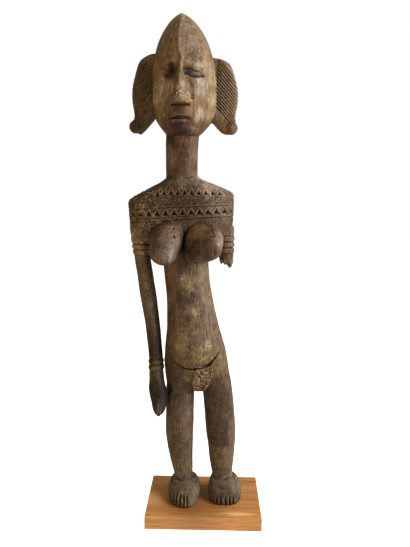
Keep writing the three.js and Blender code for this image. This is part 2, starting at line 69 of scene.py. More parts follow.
# Level, centre x and y, half width, reach to the front and to the back, power of the curve.
HEAD = [
    (466.8, -31, 0, 18, 24, 18, 2.4),
    (469.5, -30.8, 0, 21.8, 28.5, 22, 2.1),
    (475, -30.4, 0, 26.8, 31.5, 27, 1.8),
    (482, -30, 0, 32.2, 33, 31, 1.65),
    (489, -29.8, 0, 35.8, 33.5, 34, 1.6),
    (502, -30, 0, 38.3, 33, 38, 1.55),
    (516, -30.2, 0, 38.7, 32, 41, 1.5),
    (530, -30.6, 0, 38.4, 31.5, 44, 1.5),
    (538, -31, 0, 37.8, 32.3, 45.5, 1.5),
    (548, -31.3, 0, 36.7, 37, 46, 1.5),
    (557, -31.6, 0, 34.9, 37.2, 46, 1.5),
    (571, -32.1, 0, 30.9, 34.5, 44.5, 1.5),
    (584, -32.6, 0, 25, 28, 41, 1.5),
    (592, -33, 0, 19.8, 23, 37.5, 1.5),
    (600, -33.3, 0, 12.8, 15.5, 31.5, 1.55),
    (605, -33.5, 0, 6.2, 9, 25, 1.7),
    (607.4, -33.6, 0, 1, 4, 18, 2),
]
NOSE = [
    (499.5, -30.7, -26, 13.4, 19, 6, 2.2),
    (502, -30.7, -26, 14, 21.5, 6, 2),
    (507, -31, -26, 12.8, 21, 6, 1.8),
    (520, -31.6, -26, 9.8, 16.5, 6, 1.6),
    (535, -31, -26, 6.2, 12.5, 6, 1.5),
    (548, -30, -26, 3.2, 12, 6, 1.5),
]
MUZZLE = [
    (474, -31.5, -8, 11, 22.5, 6, 2.3),
    (479, -31.8, -8, 15.5, 25.6, 6, 2.5),
    (488, -31.8, -8, 15.5, 26.4, 6, 2.5),
    (496, -31.5, -8, 11, 24, 6, 2.3),
]


def through(stations, levels):
    """Every column of a stack at the given levels: the station below and the one above blended by
    3t² - 2t³, plus a share of the slope at each, t(1-t)² of the lower and t²(t-1) of the upper.
    The slope at a station is the harmonic mean of its neighbours' and is nothing at a turn."""
    table = np.array(stations, float)
    step = np.diff(table[:, 0])[:, None]
    slope = np.diff(table, axis=0) / step
    before, after = slope[:-1], slope[1:]
    turning = before * after <= 0
    mean = np.where(turning, 0, 2 * before * after / np.where(turning, 1, before + after))
    tangent = np.vstack([slope[:1], mean, slope[-1:]])
    i = np.clip(np.searchsorted(table[:, 0], levels, side="right") - 1, 0, len(table) - 2)
    t = ((levels - table[i, 0]) / step[i, 0])[:, None]
    rise = step[i] * (t * (1 - t) ** 2 * tangent[i] + t * t * (t - 1) * tangent[i + 1])
    return table[i] + (table[i + 1] - table[i]) * t * t * (3 - 2 * t) + rise


def stack(sections, sides=128):
    """A grid of points up a stack of sections. A point at an angle lies off the middle by the half
    width times the cosine and by the front or the back times the sine, both raised to 2 over the
    power. The back is never drawn out to an edge. Each end closes on its middle."""
    level, x, y, half, front, back, power = sections.T[:, :, None]
    angle = np.linspace(0, 2 * math.pi, sides, endpoint=False) - math.pi / 2
    power = np.where(np.sin(angle) < 0, power, np.maximum(power, 2))
    across = np.sign(np.cos(angle)) * np.abs(np.cos(angle)) ** (2 / power)
    deep = np.sign(np.sin(angle)) * np.abs(np.sin(angle)) ** (2 / power)
    reach = np.where(np.sin(angle) < 0, front, back)
    grid = np.stack([x + half * across, y + reach * deep, level + 0 * across], axis=2)
    return np.concatenate([grid[:1].mean(1, keepdims=True) + 0 * grid[:1], grid,
                           grid[-1:].mean(1, keepdims=True) + 0 * grid[-1:]])


def tower(stations, step=1.0):
    """A stack through the stations with a section at about every step of height."""
    low, high = stations[0][0], stations[-1][0]
    return stack(through(stations, np.linspace(low, high, int((high - low) / step) + 2)))


def turned(points, angle):
    """Points turned about the upright line through the head's middle."""
    c, s = math.cos(angle), math.sin(angle)
    x, y = points[..., 0] - HEAD_MIDDLE, points[..., 1]
    return np.stack([HEAD_MIDDLE + c * x - s * y, s * x + c * y, points[..., 2]], axis=-1)


def to_line(places, line):
    """The distance from each place to a chain of straight pieces, in two or three dimensions: the
    least over the pieces of the distance to the nearest point of that piece."""
    least = np.full(len(places), 1e9)
    for start, end in zip(np.array(line[:-1], float), np.array(line[1:], float)):
        along = end - start
        share = np.clip((places - start) @ along / (along @ along), 0, 1)
        least = np.minimum(least, np.linalg.norm(places - start - share[:, None] * along, axis=1))
    return least


def curved(line, count=24):
    """A chain of straight pieces that follows a smooth curve through the given points."""
    place = np.arange(len(line), dtype=float)
    stations = np.column_stack([place, np.array(line, float)])
    return through(stations, np.linspace(0, len(line) - 1, count))[:, 1:]


def cut(distance, half_width, power=1.0):
    """The share of a cut's depth: 1 on its line, falling to 0 at the half width."""
    return np.clip(1 - distance / half_width, 0, 1) ** power


def mound(distance, half_width):
    """A soft swelling: 1 in the middle, easing to 0 at the half width."""
    return np.clip(1 - (distance / half_width) ** 2, 0, 1) ** 2


def lattice_noise(points, cell, seed):
    """Smooth noise from -1 to 1. A hash gives a value to each corner of a lattice with the given
    cell, and a point blends its eight corners by 3t² - 2t³ along each axis."""
    q = points / np.array(cell, float)
    base = np.floor(q).astype(np.int64)
    t = q - base
    t = t * t * (3 - 2 * t)
    total = np.zeros(len(points))
    for corner in np.ndindex(2, 2, 2):
        i, j, k = (base + corner).T
        hashed = (i * 73856093) ^ (j * 19349663) ^ (k * 83492791) ^ (seed * 2654435761)
        hashed = ((hashed ^ (hashed >> 13)) * 1274126177) & 0xFFFFFFFF
        hashed = hashed ^ (hashed >> 16)
        weight = np.prod(np.where(corner, t, 1 - t), axis=1)
        total += ((hashed & 0xFFFF) / 32767.5 - 1) * weight
    return total


wood += [turned(tower(stations), HEAD_TURN) for stations in (HEAD, NOSE, MUZZLE)]

# The face is marked out across from its middle, and up. It ends at its sides and at its back.
FACE_MIDDLE = -31
FACE_SIDE = 37
FACE_BACK = 4
FACE_RIDGE = [(-0.5, 600), (-1.9, 577), (-1.5, 561), (2, 552), (2.7, 544), (2, 537), (0.6, 526),
              (2.8, 520.5), (6.7, 515.8), (9.9, 510.8), (12.4, 504)]
# Soft hollows in the eyes, beside the nose and under it: the line of each, its half width, its
# depth, and how much painted shade lies in it.
DENTS = [
    ([(5.5, 538.4), (8.5, 536.6)], 4.8, 1.1, 0.4),
    ([(7, 534), (10, 532.6), (15, 531.4), (20, 531.6), (25.5, 532.8)], 2.4, 1.4, 0.4),
    ([(8, 539), (14, 538), (20, 536), (25.5, 533.4)], 2.6, 0.7, 0.25),
    ([(-10.8, 541.5), (-12.6, 537), (-15, 531.5)], 5.8, 2.3, 0.45),
    ([(11, 536.2), (16, 535), (22, 534.6)], 3.4, 0, 0.24),
    ([(-12, 537), (-18, 534.5)], 5, 1.4, 0.4),
    ([(-14, 525), (-17.5, 518), (-19.5, 510), (-18.5, 501)], 5, 1.2, 0.3),
    ([(8.5, 530), (11.5, 522), (13.6, 513), (14, 507)], 3.2, 1.0, 0.2),
    ([(-8.5, 498.6), (11, 498.6)], 2.2, 0.4, 0.35),
]
# The lower edge of the upper lip, and the floor of the mouth where it meets the lower one.
MOUTH_TOP = [(-12, 484.2), (-6.6, 487), (-0.6, 488.2), (5.6, 487.8), (9.8, 486.6), (14.4, 484.4)]
MOUTH_FLOOR = [(-12, 483.6), (-4.3, 482.9), (4.3, 483), (9.7, 483.2), (14.4, 483.8)]
# The lids and the bones under the eyes: the middle of each, its half width and half height, and
# how far it stands out.
SWELLINGS = [
    (18, 535.4, 5.5, 2.8, 1.2),
    (-19.5, 531, 5, 2.2, 1.2),
    (20.5, 521.5, 7.5, 9, 1.3),
    (-24, 522, 6, 10, 0.6),
]
# The brows, the lips and the hollow over the chin: the line of each, its half width, and how far
# it stands out.
LOW_RIDGES = [
    (curved([(8, 545.5), (16, 543.6), (22, 541.5)]), 4.5, 1.3),
    (curved([(-9, 549), (-18, 546.5), (-28, 541)]), 4.5, 1.3),
    ([(-10, 481.6), (7, 481.4)], 1.8, 0.5),
    ([(-6, 491.6), (0, 493), (7, 491.6)], 3, 0.7),
    ([(-8, 476), (14, 476.5)], 4, -1.3),
]
# The flat strip down each side of the face starts at a soft edge.
FACE_EDGES = [
    [(29, 560), (30.6, 542), (31.3, 515), (30.2, 498), (27, 486), (21, 475)],
    [(-27, 558), (-28.6, 540), (-29, 515), (-28, 498), (-25, 486), (-20, 475)],
]
# Places that have been knocked rough: the middle of each, its half width and half height, and how
# deep the flakes are.
CHIPPED = [
    (12, 553, 12, 9, 0.9),
    (-0.5, 511, 7, 11, 2.2),
    (8.5, 508, 5.5, 9, 1.6),
    (-9, 583, 5, 12, 0.35),
    (20, 504, 9, 9, 0.45),
    (-1.5, 560, 5, 16, 0.5),
]


def oval(places, middle_x, middle_z, half_width, half_height):
    """The distance from the middle of an oval, 1 being its rim."""
    return np.hypot((places[:, 0] - middle_x) / half_width, (places[:, 1] - middle_z) / half_height)


def on_face(p):
    """Places as across and up the face."""
    q = turned(p, -HEAD_TURN)
    return np.column_stack([q[:, 0] - FACE_MIDDLE, q[:, 2]])


def between_lips(place):
    """The share of the mouth's depth: it drops at once under the upper lip, and rises again over
    the last of the way to the lower one."""
    across, up = place.T
    high = np.interp(across, *np.array(MOUTH_TOP).T)
    low = np.interp(across, *np.array(MOUTH_FLOOR).T)
    within = (across > MOUTH_TOP[0][0]) & (across < MOUTH_TOP[-1][0])
    return within * np.clip((high - up) / 1.8, 0, 1) * np.clip((up - low) / 0.9, 0, 1)


def cut_face(p, n):
    """How far the face moves out: the ridge down its middle, the eyes and the mouth, the valleys
    beside the nose, and the places that are knocked rough."""
    place = on_face(p)
    out = 0.9 * cut(to_line(place, curved(FACE_RIDGE, 40)), 2.8)
    out -= 1.6 * between_lips(place)
    for *shape, height in SWELLINGS:
        out += height * mound(oval(place, *shape), 1)
    for line, half_width, height in LOW_RIDGES:
        out += height * mound(to_line(place, line), half_width)
    for line, half_width, depth, _ in DENTS:
        out -= depth * mound(to_line(place, curved(line)), half_width)
    for edge in FACE_EDGES:
        out -= 0.55 * cut(to_line(place, curved(edge)), 2)
    flakes = lattice_noise(p, (2.3, 2.3, 2.3), 3) + 0.6 * lattice_noise(p, (1.1, 1.1, 1.3), 4)
    for *shape, depth in CHIPPED:
        out += depth * mound(oval(place, *shape), 1) * (flakes - 0.3)
    return out * (p[:, 1] < FACE_BACK) * (np.abs(place[:, 0]) < FACE_SIDE)


def painted_shade_on_face(p):
    """The share of painted shade in the eyes, the mouth and the valleys beside the nose."""
    place = on_face(p)
    share = 0.42 * between_lips(place)
    share = np.maximum(share, 0.7 * mound(to_line(place, MOUTH_FLOOR), 1.5))
    for line, half_width, _, painted_darkening in DENTS:
        share = np.maximum(share, painted_darkening * mound(to_line(place, curved(line)), half_width + 1.5))
    share *= 1 + 0.25 * lattice_noise(p, (2.5, 2.5, 2), 71)
    return share * (p[:, 1] < 0)


cuts.append((467, 604, cut_face))

# The hair: a thick fluted lobe on each side of the head, cut free of it in front and behind and
# drawn down to a stem with a knob. The flutes are gouged outwards and down, out over the rim.
LOBE_FALL = math.radians(48)
# Height across the flutes, and where a line along the flutes enters and leaves the lobe there.
LOBE = [
    (347.5, -351, -322),
    (350, -354, -316),
    (354, -360, -313),
    (362, -368, -311.5),
    (366.5, -374, -313.5),
    (369.5, -378, -319),
    (373.4, -381.4, -324.3),
    (384.5, -394.2, -333.2),
    (394.2, -399, -343.3),
    (401.5, -393.5, -355.5),
    (407, -385, -367.5),
    (409.2, -378.5, -373),
]
LOBE_Y = 8
LOBE_HALF_THICKNESS = 8
KNOB_RADIUS = 8.5
FLUTE_PITCH = 2.95
# The middle of a lobe's face, out and up, and how far out the hair leaves the head.
LOBE_MIDDLE = (58, 518)
HAIRLINE = 36.5
# Each lobe: its side, where it starts across the flutes, how far it is drawn out in height and
# moved outwards, the place of its knob, and how its flutes fall, where they lie and how deep.
LOBES = [
    {"side": 1, "lowest": 347.5, "stretch": 0.97, "out": 0.2, "knob": (55.2, 477.4),
     "fall": math.radians(49), "flutes": (361, 404), "depth": 1.15},
    {"side": -1, "lowest": 352.6, "stretch": 1.04, "out": 1.8, "knob": (60.2, 478.6),
     "fall": math.radians(43), "flutes": (373, 405), "depth": 0.9},
]


def lobe_grid(lobe):
    """A lobe: sections across the flutes from where they enter to where they leave, as thick as
    the lobe, but thinner where a section is short. The stack lies down the slope of the flutes."""
    height = np.linspace(lobe["lowest"], LOBE[-1][0], 90)
    _, enter, leave = through(LOBE, height).T
    half = (leave - enter) / 2
    thick = LOBE_HALF_THICKNESS * np.minimum(1, np.sqrt(half / 14))
    sections = [height, enter + half, LOBE_Y + 0 * half, half, thick, thick, 2.6 + 0 * half]
    along, y, across = np.moveaxis(stack(np.column_stack(sections), 96), 2, 0)
    x = along * math.cos(LOBE_FALL) + across * math.sin(LOBE_FALL)
    z = across * math.cos(LOBE_FALL) - along * math.sin(LOBE_FALL)
    level = lobe["knob"][1]
    x = HEAD_MIDDLE + lobe["side"] * (lobe["out"] + x)
    return turned(np.stack([x, y, level + (z - level) * lobe["stretch"]], axis=-1), HEAD_TURN)


def ball(middle, radius, count=40):
    """A ball as a stack of rings, the half width the root of the radius² less the height²."""
    height = np.linspace(-radius, radius, count)
    half = np.sqrt(np.maximum(radius**2 - height**2, 0.01))
    x, y, z = middle
    sections = [z + height, x + 0 * half, y + 0 * half, half, half, half, 2 + 0 * half]
    return stack(np.column_stack(sections), 64)


def cut_flutes(lobe):
    """Makes the cut for one lobe: rounded grooves at an even pitch across the slope, which fade
    where the hair meets the head, over the smooth top and above the stem."""

    def flutes(p, n):
        """How far the wood moves, which is inwards in a groove."""
        q = turned(p, -HEAD_TURN)
        x = lobe["side"] * (q[:, 0] - HEAD_MIDDLE) - lobe["out"]
        level = lobe["knob"][1]
        z = level + (q[:, 2] - level) / lobe["stretch"]
        wander = 0.5 * lattice_noise(p, (14, 14, 14), 11)
        across = x * math.sin(lobe["fall"]) + z * math.cos(lobe["fall"]) + wander
        # The fall differs a little from the lobe's own, so the height is counted from its middle.
        offset = LOBE_MIDDLE[0] * (math.sin(LOBE_FALL) - math.sin(lobe["fall"]))
        across += offset + LOBE_MIDDLE[1] * (math.cos(LOBE_FALL) - math.cos(lobe["fall"]))
        low, high = lobe["flutes"]
        inside = np.clip((across - low) / 2, 0, 1) * np.clip((high - across) / 2, 0, 1)
        groove = (0.5 + 0.5 * np.cos(2 * math.pi * (across - low) / FLUTE_PITCH)) ** 0.7
        free = np.clip((x - HAIRLINE) / 2.5, 0, 1)
        free = free * (np.abs(q[:, 1] - LOBE_Y) < LOBE_HALF_THICKNESS + 2)
        on_rim = np.clip((np.abs(n[:, 1]) - 0.25) / 0.4, 0.3, 1)
        return -lobe["depth"] * groove * inside * free * on_rim

    return flutes


for lobe in LOBES:
    knob_out, knob_level = lobe["knob"]
    knob_x = HEAD_MIDDLE + lobe["side"] * knob_out
    wood += [lobe_grid(lobe), turned(ball((knob_x, LOBE_Y, knob_level), KNOB_RADIUS), HEAD_TURN)]
    cuts.append((480, 565, cut_flutes(lobe)))

# The neck: a plain column, a little oval, that stands on the roof of the shoulders. Handling has
# left a rounded rim round its foot.
NECK = [
    (412, -32.2, 3, 19, 18.5, 18, 2),
    (440, -32.5, 2, 19.3, 18.5, 18.5, 2),
    (476, -31.6, 1, 20, 20, 20, 2),
]
NECK_RIM = [(-51, 2, 415), (-47.9, -12.6, 414.3), (-38, -17, 413.7), (-29.9, -17.5, 413.8),
            (-20, -14, 415.5), (-13.8, -4.8, 418.5)]
wood.append(tower(NECK))


def cut_neck(p, n):
    """How far the rim at the foot of the neck stands out."""
    return 0.7 * mound(to_line(p, curved(NECK_RIM)), 3)


cuts.append((406, 424, cut_neck))

# The shoulders: a square block under a sloping roof, set across the chest and leaning a little.
# Two rows of deep triangular chips and a band of herringbone strokes run round it between lines.
YOKE_AXIS = -33
YOKE_Y = 4
YOKE_TILT = 0.08
# The level whose outline stands for the way round the block.
YOKE_WAIST = 370.0
YOKE = [
    (345, -32, 4, 59.6, 22, 24, 3.2),
    (352, -32, 4, 61.4, 25.5, 26, 3.6),
    (366, -32, 4, 62.8, 27, 28, 4),
    (381, -32.3, 4, 63.6, 27, 28.5, 4),
    (391, -32.7, 4, 64, 26.5, 28, 4),
    (395, -33, 4, 62.6, 26, 27.5, 4),
    (398, -33, 4, 58.4, 25.6, 27, 3.8),
    (407.5, -33, 4, 39.4, 24, 25, 3),
    (414, -32.8, 3.5, 25.4, 21, 21, 2.4),
    (418, -32.4, 3, 18.8, 18, 18, 2),
]
yoke = tower(YOKE)
yoke[..., 2] += YOKE_TILT * (yoke[..., 0] - YOKE_AXIS)
wood.append(yoke)

# The levels of the three carved lines and of the arch over them in the middle of the chest, and
# the pitch of the herringbone strokes.
FIRST_LINE = 395.7
SECOND_LINE = 382.3
THIRD_LINE = 367.6
ARCH = 407.4
STROKES_APART = 3.6
# A row of chips: their pitch and where one stands, the level, slope and sag of their bases, the
# height and half width of a pit, its depth, and how far the row reaches to each side.
UPPER_CHIPS = {"pitch": 8.7, "phase": 5.4, "base": 397.0, "rise": 0.01, "sag": 0.006,
               "height": 5.4, "half": 3.3, "depth": 3.2, "reach": (-46, 52)}
LOWER_CHIPS = {"pitch": 10.0, "phase": 2.9, "base": 373.2, "rise": 0.05, "sag": 0,
               "height": 6.0, "half": 3.9, "depth": 3.8, "reach": (-82, 82)}


def round_the_block(p):
    """The way round the shoulder block from the middle of its front, by the bearing of a place."""
    section = stack(through(YOKE, np.array([YOKE_WAIST])), 720)[1]
    bearing = np.arctan2(section[:, 0] - YOKE_AXIS, YOKE_Y - section[:, 1])
    order = np.argsort(bearing)
    ring = section[order]
    way = np.concatenate([[0], np.cumsum(np.linalg.norm(np.diff(ring, axis=0), axis=1))])
    way -= np.interp(0, bearing[order], way)
    return np.interp(np.arctan2(p[:, 0] - YOKE_AXIS, YOKE_Y - p[:, 1]), bearing[order], way)


def cut_chips(way, level, row, frontal):
    """A row of chips: each is a three-sided pit, point up, deepest above the middle of its base,
    under a raised chevron that follows its two upper edges. The chevrons are worn off the sides."""
    u = (way - row["phase"]) / row["pitch"]
    u = np.abs(u - np.round(u)) * row["pitch"]
    v = level - row["base"] - row["rise"] * way + row["sag"] * np.minimum(way + 15, 0) ** 2
    slope = math.hypot(row["height"], row["half"])
    flank = (row["height"] * (row["half"] - u) - row["half"] * v) / slope
    pit = np.clip(np.minimum(flank, 1.5 * v) / 1.6, 0, 1)
    chevron = mound(flank + 1.1, 1.35) * np.clip(v + 1, 0, 1) * (v < row["height"] + 3.4)
    low, high = row["reach"]
    return (0.75 * frontal * chevron - row["depth"] * pit) * (way > low) * (way < high)


def cut_bands(p, n):
    """How far the chest moves out under the carved bands. Grooved and ridged lines part the rows
    of chips from the band of slanting strokes, whose two directions give way to one another.
    Over the right shoulder the wood is worn and crusted, and the pattern is muddled."""
    way = round_the_block(p)
    x = p[:, 0] - YOKE_AXIS
    z = p[:, 2]
    first = z - (FIRST_LINE - 0.02 * x - 0.006 * np.minimum(x + 15, 0) ** 2)
    second = z - (SECOND_LINE + 0.055 * x)
    third = z - (THIRD_LINE + 0.105 * x - 0.0006 * x * np.abs(x))
    arch = z - (ARCH - 0.0045 * np.maximum(np.abs(x) - 4, 0) ** 1.95)
    frontal = np.clip((0.92 - np.abs(n[:, 0])) / 0.25, 0, 1)
    ridges = mound(first - 1.5, 1.2) + mound(second - 1.5, 1.2) + mound(third - 1.9, 1.4)
    out = 0.5 * frontal * ridges
    out -= 0.8 * cut(np.abs(first), 1.0) + 0.8 * cut(np.abs(second), 1.0)
    out -= 0.9 * cut(np.abs(third), 1.1) + 0.5 * cut(np.abs(third - 3.6), 0.8)
    out -= 0.6 * cut(np.abs(arch), 1.1) * (x > -45)
    out += cut_chips(way, z, UPPER_CHIPS, frontal) * (arch < -0.5)
    out += cut_chips(way, z, LOWER_CHIPS, frontal)
    band = np.clip(-first / 1.5 - 0.4, 0, 1) * np.clip(second / 1.5 - 0.8, 0, 1)
    turning = lattice_noise(np.column_stack([way, 1.4 * z, 0 * z]), (5.5, 5.5, 5.5), 6)
    wander = 0.9 * lattice_noise(p, (6, 6, 6), 7)
    broken = np.clip(0.75 + 1.1 * lattice_noise(p, (1.9, 1.9, 1.9), 9), 0, 1)
    for slant in (1, -1):
        share = np.clip(0.6 + slant * 1.6 * turning, 0.1, 1)
        stroke = np.abs(((way + slant * 1.1 * z + wander) / STROKES_APART) % 1 - 0.5) * 2
        out -= 1.1 * band * share * broken * np.clip(1.1 - 1.7 * stroke, 0, 1)
    worn = np.clip((-22 - x) / 14, 0, 1) * (arch < 0) * (third > -9)
    crossing = lattice_noise(np.column_stack([z + 0.8 * x, z - 0.8 * x, p[:, 1]]), (3.4, 3.4, 8), 5)
    crumbs = lattice_noise(p, (1.5, 1.5, 1.9), 8)
    out = out * (1 - 0.35 * worn) - worn * (0.8 * np.abs(crossing) - 0.35 * crumbs)
    on_block = (p[:, 1] < 20) & (n[:, 2] < 0.93)
    return out * on_block


cuts.append((352, 418, cut_bands))

# The breasts stand forward side by side: a long rounded cone that droops a little, and a blunt
# block, drawn back on its inner side. Both are rubbed smooth, with a few long scratches.
RIGHT_BREAST = [
    (316.3, -50.2, -30, 6.5, 19, 10, 2),
    (318, -50.6, -27, 11.5, 27, 10, 2),
    (321, -50.8, -24, 15.4, 33.5, 10, 2.05),
    (325.5, -50.4, -21, 18, 38.5, 10, 2.1),
    (331, -49.6, -19, 19.4, 41, 10, 2.15),
    (338, -48.7, -17.5, 20, 40.5, 10, 2.2),
    (345, -48.2, -17, 20, 36.5, 10, 2.2),
    (351, -47.6, -16, 18.9, 30.5, 10, 2.2),
    (355.5, -46, -16, 16.4, 24.5, 10, 2.1),
    (359, -44.3, -16, 12.8, 18, 10, 2.1),
    (362, -43, -16, 8, 12.5, 10, 2),
    (363.8, -42.5, -16, 4.5, 9, 8, 2),
]
LEFT_BREAST = [
    (318.5, -7, -14, 13, 24, 6, 2.6),
    (320.5, -6, -14, 18, 32, 6, 2.8),
    (324, -5, -14, 21, 38, 6, 3),
    (330, -4.6, -14, 22.8, 42, 6, 3),
    (337, -4.4, -14, 23.4, 43, 6, 3),
    (343, -4.4, -14, 23.4, 42, 6, 2.9),
    (349, -4.8, -14, 22.4, 37.5, 6, 2.7),
    (355, -5.2, -14, 20.6, 31, 6, 2.5),
    (360, -6, -14, 17.5, 23, 6, 2.4),
    (364, -6.5, -14, 12, 15, 6, 2.2),
    (366.5, -7, -14, 6, 10, 6, 2),
]
NIPPLE_Y = -45
BREASTS = [
    {"stations": RIGHT_BREAST, "slant": 0, "rise": 0, "droop": 0.15},
    {"stations": LEFT_BREAST, "slant": -0.45, "rise": 0.18, "droop": 0},
]
# The left breast has a worn edge along its scratches and down its outer corner.
BREAST_CORNER = [(0.4, -29, 364.7), (10, -46, 355), (13, -55, 345), (12, -57, 338), (11, -56, 331)]
# The line and the depth of each scratch.
SCRATCHES = [
    ([(0.4, -29, 364.7), (4.2, -36, 361.3), (9.7, -46, 354.7), (13.4, -54.3, 344.6)], 1.1),
    ([(4.3, -42.8, 358), (6.5, -49.4, 353.4), (8.7, -54.1, 348.8)], 0.8),
    ([(-48.2, -38.6, 355.8), (-53.6, -46, 348.6), (-54.8, -50.5, 342.6), (-56.6, -53.4, 336),
      (-57.4, -56, 329)], 0.9),
    ([(-50, -39.5, 355.6), (-55.3, -45.6, 348.4), (-58.2, -51, 340.7), (-59.2, -54, 332.9)], 0.7),
    ([(-44.5, -38.5, 357), (-46, -42.5, 352), (-47, -44, 349.5)], 0.6),
    ([(-52, -60, 334), (-45, -58.5, 329.5), (-38, -52, 330)], 0.5),
    ([(-50, -61, 329), (-43, -57.5, 325.5)], 0.5),
]
# How deep the insect holes go, and the place and the radius of each, here and elsewhere.
HOLE_DEPTH = 3.6
INSECT_HOLES = [
    (-39.5, -36, 358.6, 1.6),
    (-38.4, -44.6, 349.4, 1.5),
    (-37.6, -45.4, 347.9, 1.3),
    (4, -6.3, 274.1, 0.9),
    (-9.1, -17.5, 266.7, 0.9),
    (-11.2, -22.3, 252.9, 0.7),
    (-18.5, 31, 300, 1.0),
    (-52, 27, 520, 1.1),
    (-44, 20.5, 120, 1.0),
]


def drawn_back(grid, x, y, reach, slant, trim=0):
    """A stack whose front falls back towards one side: every place in front of the middle moves
    by the slant times how far across it is, and by the trim times the square of that on the other
    side, in proportion to how far ahead it is."""
    ahead = np.maximum(y - grid[..., 1], 0) / reach
    across = grid[..., 0] - x
    grid[..., 1] += ahead * (slant * across + trim * np.maximum(across, 0) ** 2)
    return grid


def breast_grid(breast):
    """A stack that rises across the chest, and from the nipple back towards the chest."""
    _, x, y, _, reach, *_ = max(breast["stations"], key=lambda station: station[4])
    grid = tower(breast["stations"], 0.8)
    grid[..., 2] += breast["rise"] * (grid[..., 0] - x)
    grid[..., 2] += breast["droop"] * (grid[..., 1] - NIPPLE_Y)
    return drawn_back(grid, x, y, reach, breast["slant"])


def cut_scratches(p, n):
    """Long scratches over the breasts, each with a low burr, and the worn edge of the left one."""
    out = 1.3 * mound(to_line(p, curved(BREAST_CORNER)), 5)
    for line, depth in SCRATCHES:
        gap = to_line(p, curved(line))
        out += 0.3 * mound(gap - 1.4, 0.8) - depth * cut(gap, 1.2)
    return out


def bore_holes(p, n):
    """Round insect holes, straight in."""
    out = np.zeros(len(p))
    for x, y, z, radius in INSECT_HOLES:
        gap = np.linalg.norm(p - (x, y, z), axis=1)
        out -= HOLE_DEPTH * np.clip((radius + 0.35 - gap) / 0.7, 0, 1)
    return out


wood += [breast_grid(breast) for breast in BREASTS]
cuts += [(320, 372, cut_scratches), (100, 560, bore_holes)]

# The trunk: a slim waist that widens to the hips, with the belly standing out over a deep fold.
# The wood has dried, and fine cracks run up the grain over the left of the belly.
TORSO = [
    (157, -8.5, 7, 38, 17, 28, 2.5),
    (163, -9.2, 7, 39.6, 20, 31, 2.5),
    (175, -10.5, 6, 40.5, 24.5, 34, 2.4),
    (190, -12.1, 5, 39.7, 27.5, 34, 2.3),
    (205, -13.2, 4, 38.2, 27.5, 31, 2.2),
    (220, -14.8, 3.5, 35.6, 26, 27, 2.1),
    (235, -16.4, 3, 32.6, 24, 23, 2.1),
    (250, -18.4, 3, 30.7, 22, 20.5, 2.1),
    (265, -20.3, 3, 29, 21, 19, 2.1),
    (295, -24.4, 3, 27.6, 20, 18, 2.1),
    (312, -26.2, 3, 28, 20, 18.5, 2.1),
    (326, -28.5, 3.5, 32, 22, 20, 2.2),
    (338, -30.5, 4, 39, 24, 21.5, 2.5),
    (348, -32, 4, 50, 25, 22.5, 2.8),
    (356, -32, 4, 52, 23, 21, 2.8),
]
BELLY_RISE = 0.08
BELLY = [
    (185.5, -17.5, -2, 7, 16, 8, 2.1),
    (187.5, -17.5, -2, 13, 21, 10, 2.1),
    (191, -17.3, -2, 19, 25, 12, 2.1),
    (197, -17, -2, 25, 27.5, 14, 2.2),
    (206, -16.5, -2, 30, 28.6, 16, 2.2),
    (218, -16, -2, 31.6, 28.2, 16, 2.2),
    (234, -16.6, -1, 30.4, 26.4, 16, 2.1),
    (250, -18.2, 0, 28.6, 24, 15, 2.1),
    (266, -20, 1, 26.5, 21.2, 14, 2.1),
    (284, -22.5, 2.2, 25, 17.6, 13, 2.1),
]
BELLY_FOLD = [(-44, 201), (-40, 197.4), (-32, 190.8), (-25, 187.6), (-18.3, 186.4), (-9, 188),
              (-2, 190.4), (5, 194.4), (11, 199.6), (16, 206), (19, 211)]
# Where the fold fades out on each side.
FOLD_ENDS = (-44, 20)
# A knocked place on the belly: its middle, half width and half height.
BELLY_MARK = (-21, 249.5, 6, 3.5)
belly = tower(BELLY, 0.7)
belly[..., 2] += BELLY_RISE * (belly[..., 0] - BELLY[0][1])
wood += [tower(TORSO), belly]


def cut_fold(p, n):
    """The fold under the belly: a narrow deep cut, with the belly swelling just above it. The
    knocked place is a shallow uneven dip."""
    place = p[:, [0, 2]]
    gap = to_line(place, curved(BELLY_FOLD, 40))
    right, left = FOLD_ENDS
    ends = np.clip((p[:, 0] - right) / 14, 0, 1) * np.clip((left - p[:, 0]) / 7, 0, 1)
    above = to_line(place, curved([(x, z + 4) for x, z in BELLY_FOLD], 40))
    out = (0.5 * mound(above, 4) - 3.0 * cut(gap, 1.9, 0.8)) * ends
    uneven = 0.6 + 0.4 * lattice_noise(p, (2, 2, 2), 7)
    out -= 0.6 * mound(oval(place, *BELLY_MARK), 1) * uneven
    return out * (p[:, 1] < 2)


# The drying cracks: where each one lies across the belly, the level of its middle, and its length.
CRACKS = [(0.5, 232, 26), (4, 246, 40), (7.5, 222, 22), (9.5, 240, 30), (-4, 262, 16),
          (13, 226, 18), (2.5, 214, 12)]


def cut_cracks(p, n):
    """Fine wavering cracks that run up the trunk and lean with it."""
    out = np.zeros(len(p))
    waver = 0.7 * lattice_noise(p, (5, 5, 9), 17)
    for across, level, length in CRACKS:
        gap = np.abs(p[:, 0] - across + 0.1 * (p[:, 2] - level) + waver)
        out -= 0.7 * cut(gap, 0.8) * np.sqrt(mound(p[:, 2] - level, length / 2))
    return out * (p[:, 1] < 4)


cuts += [(180, 262, cut_fold), (200, 270, cut_cracks)]

# The panel in front of the hips: a small raised shield left standing between the thighs and
# covered with close nicks, curved at its upper corner and straight across its face.
PANEL = {"x": -3, "y": -25.8, "top": 191, "tilt": 0.22}
PANEL_OUTLINE = [(-10, -3), (-13.5, -24), (-12, -34.5), (1, -34.5), (7, -27), (11, -14), (12.5, 2)]
# The rows of its mesh: the share of the outline, and how far behind the face each one lies.
PANEL_ROWS = [(0, 0), (0.55, 0), (0.88, 0.2), (1, 1.4), (1, 12), (0, 12)]
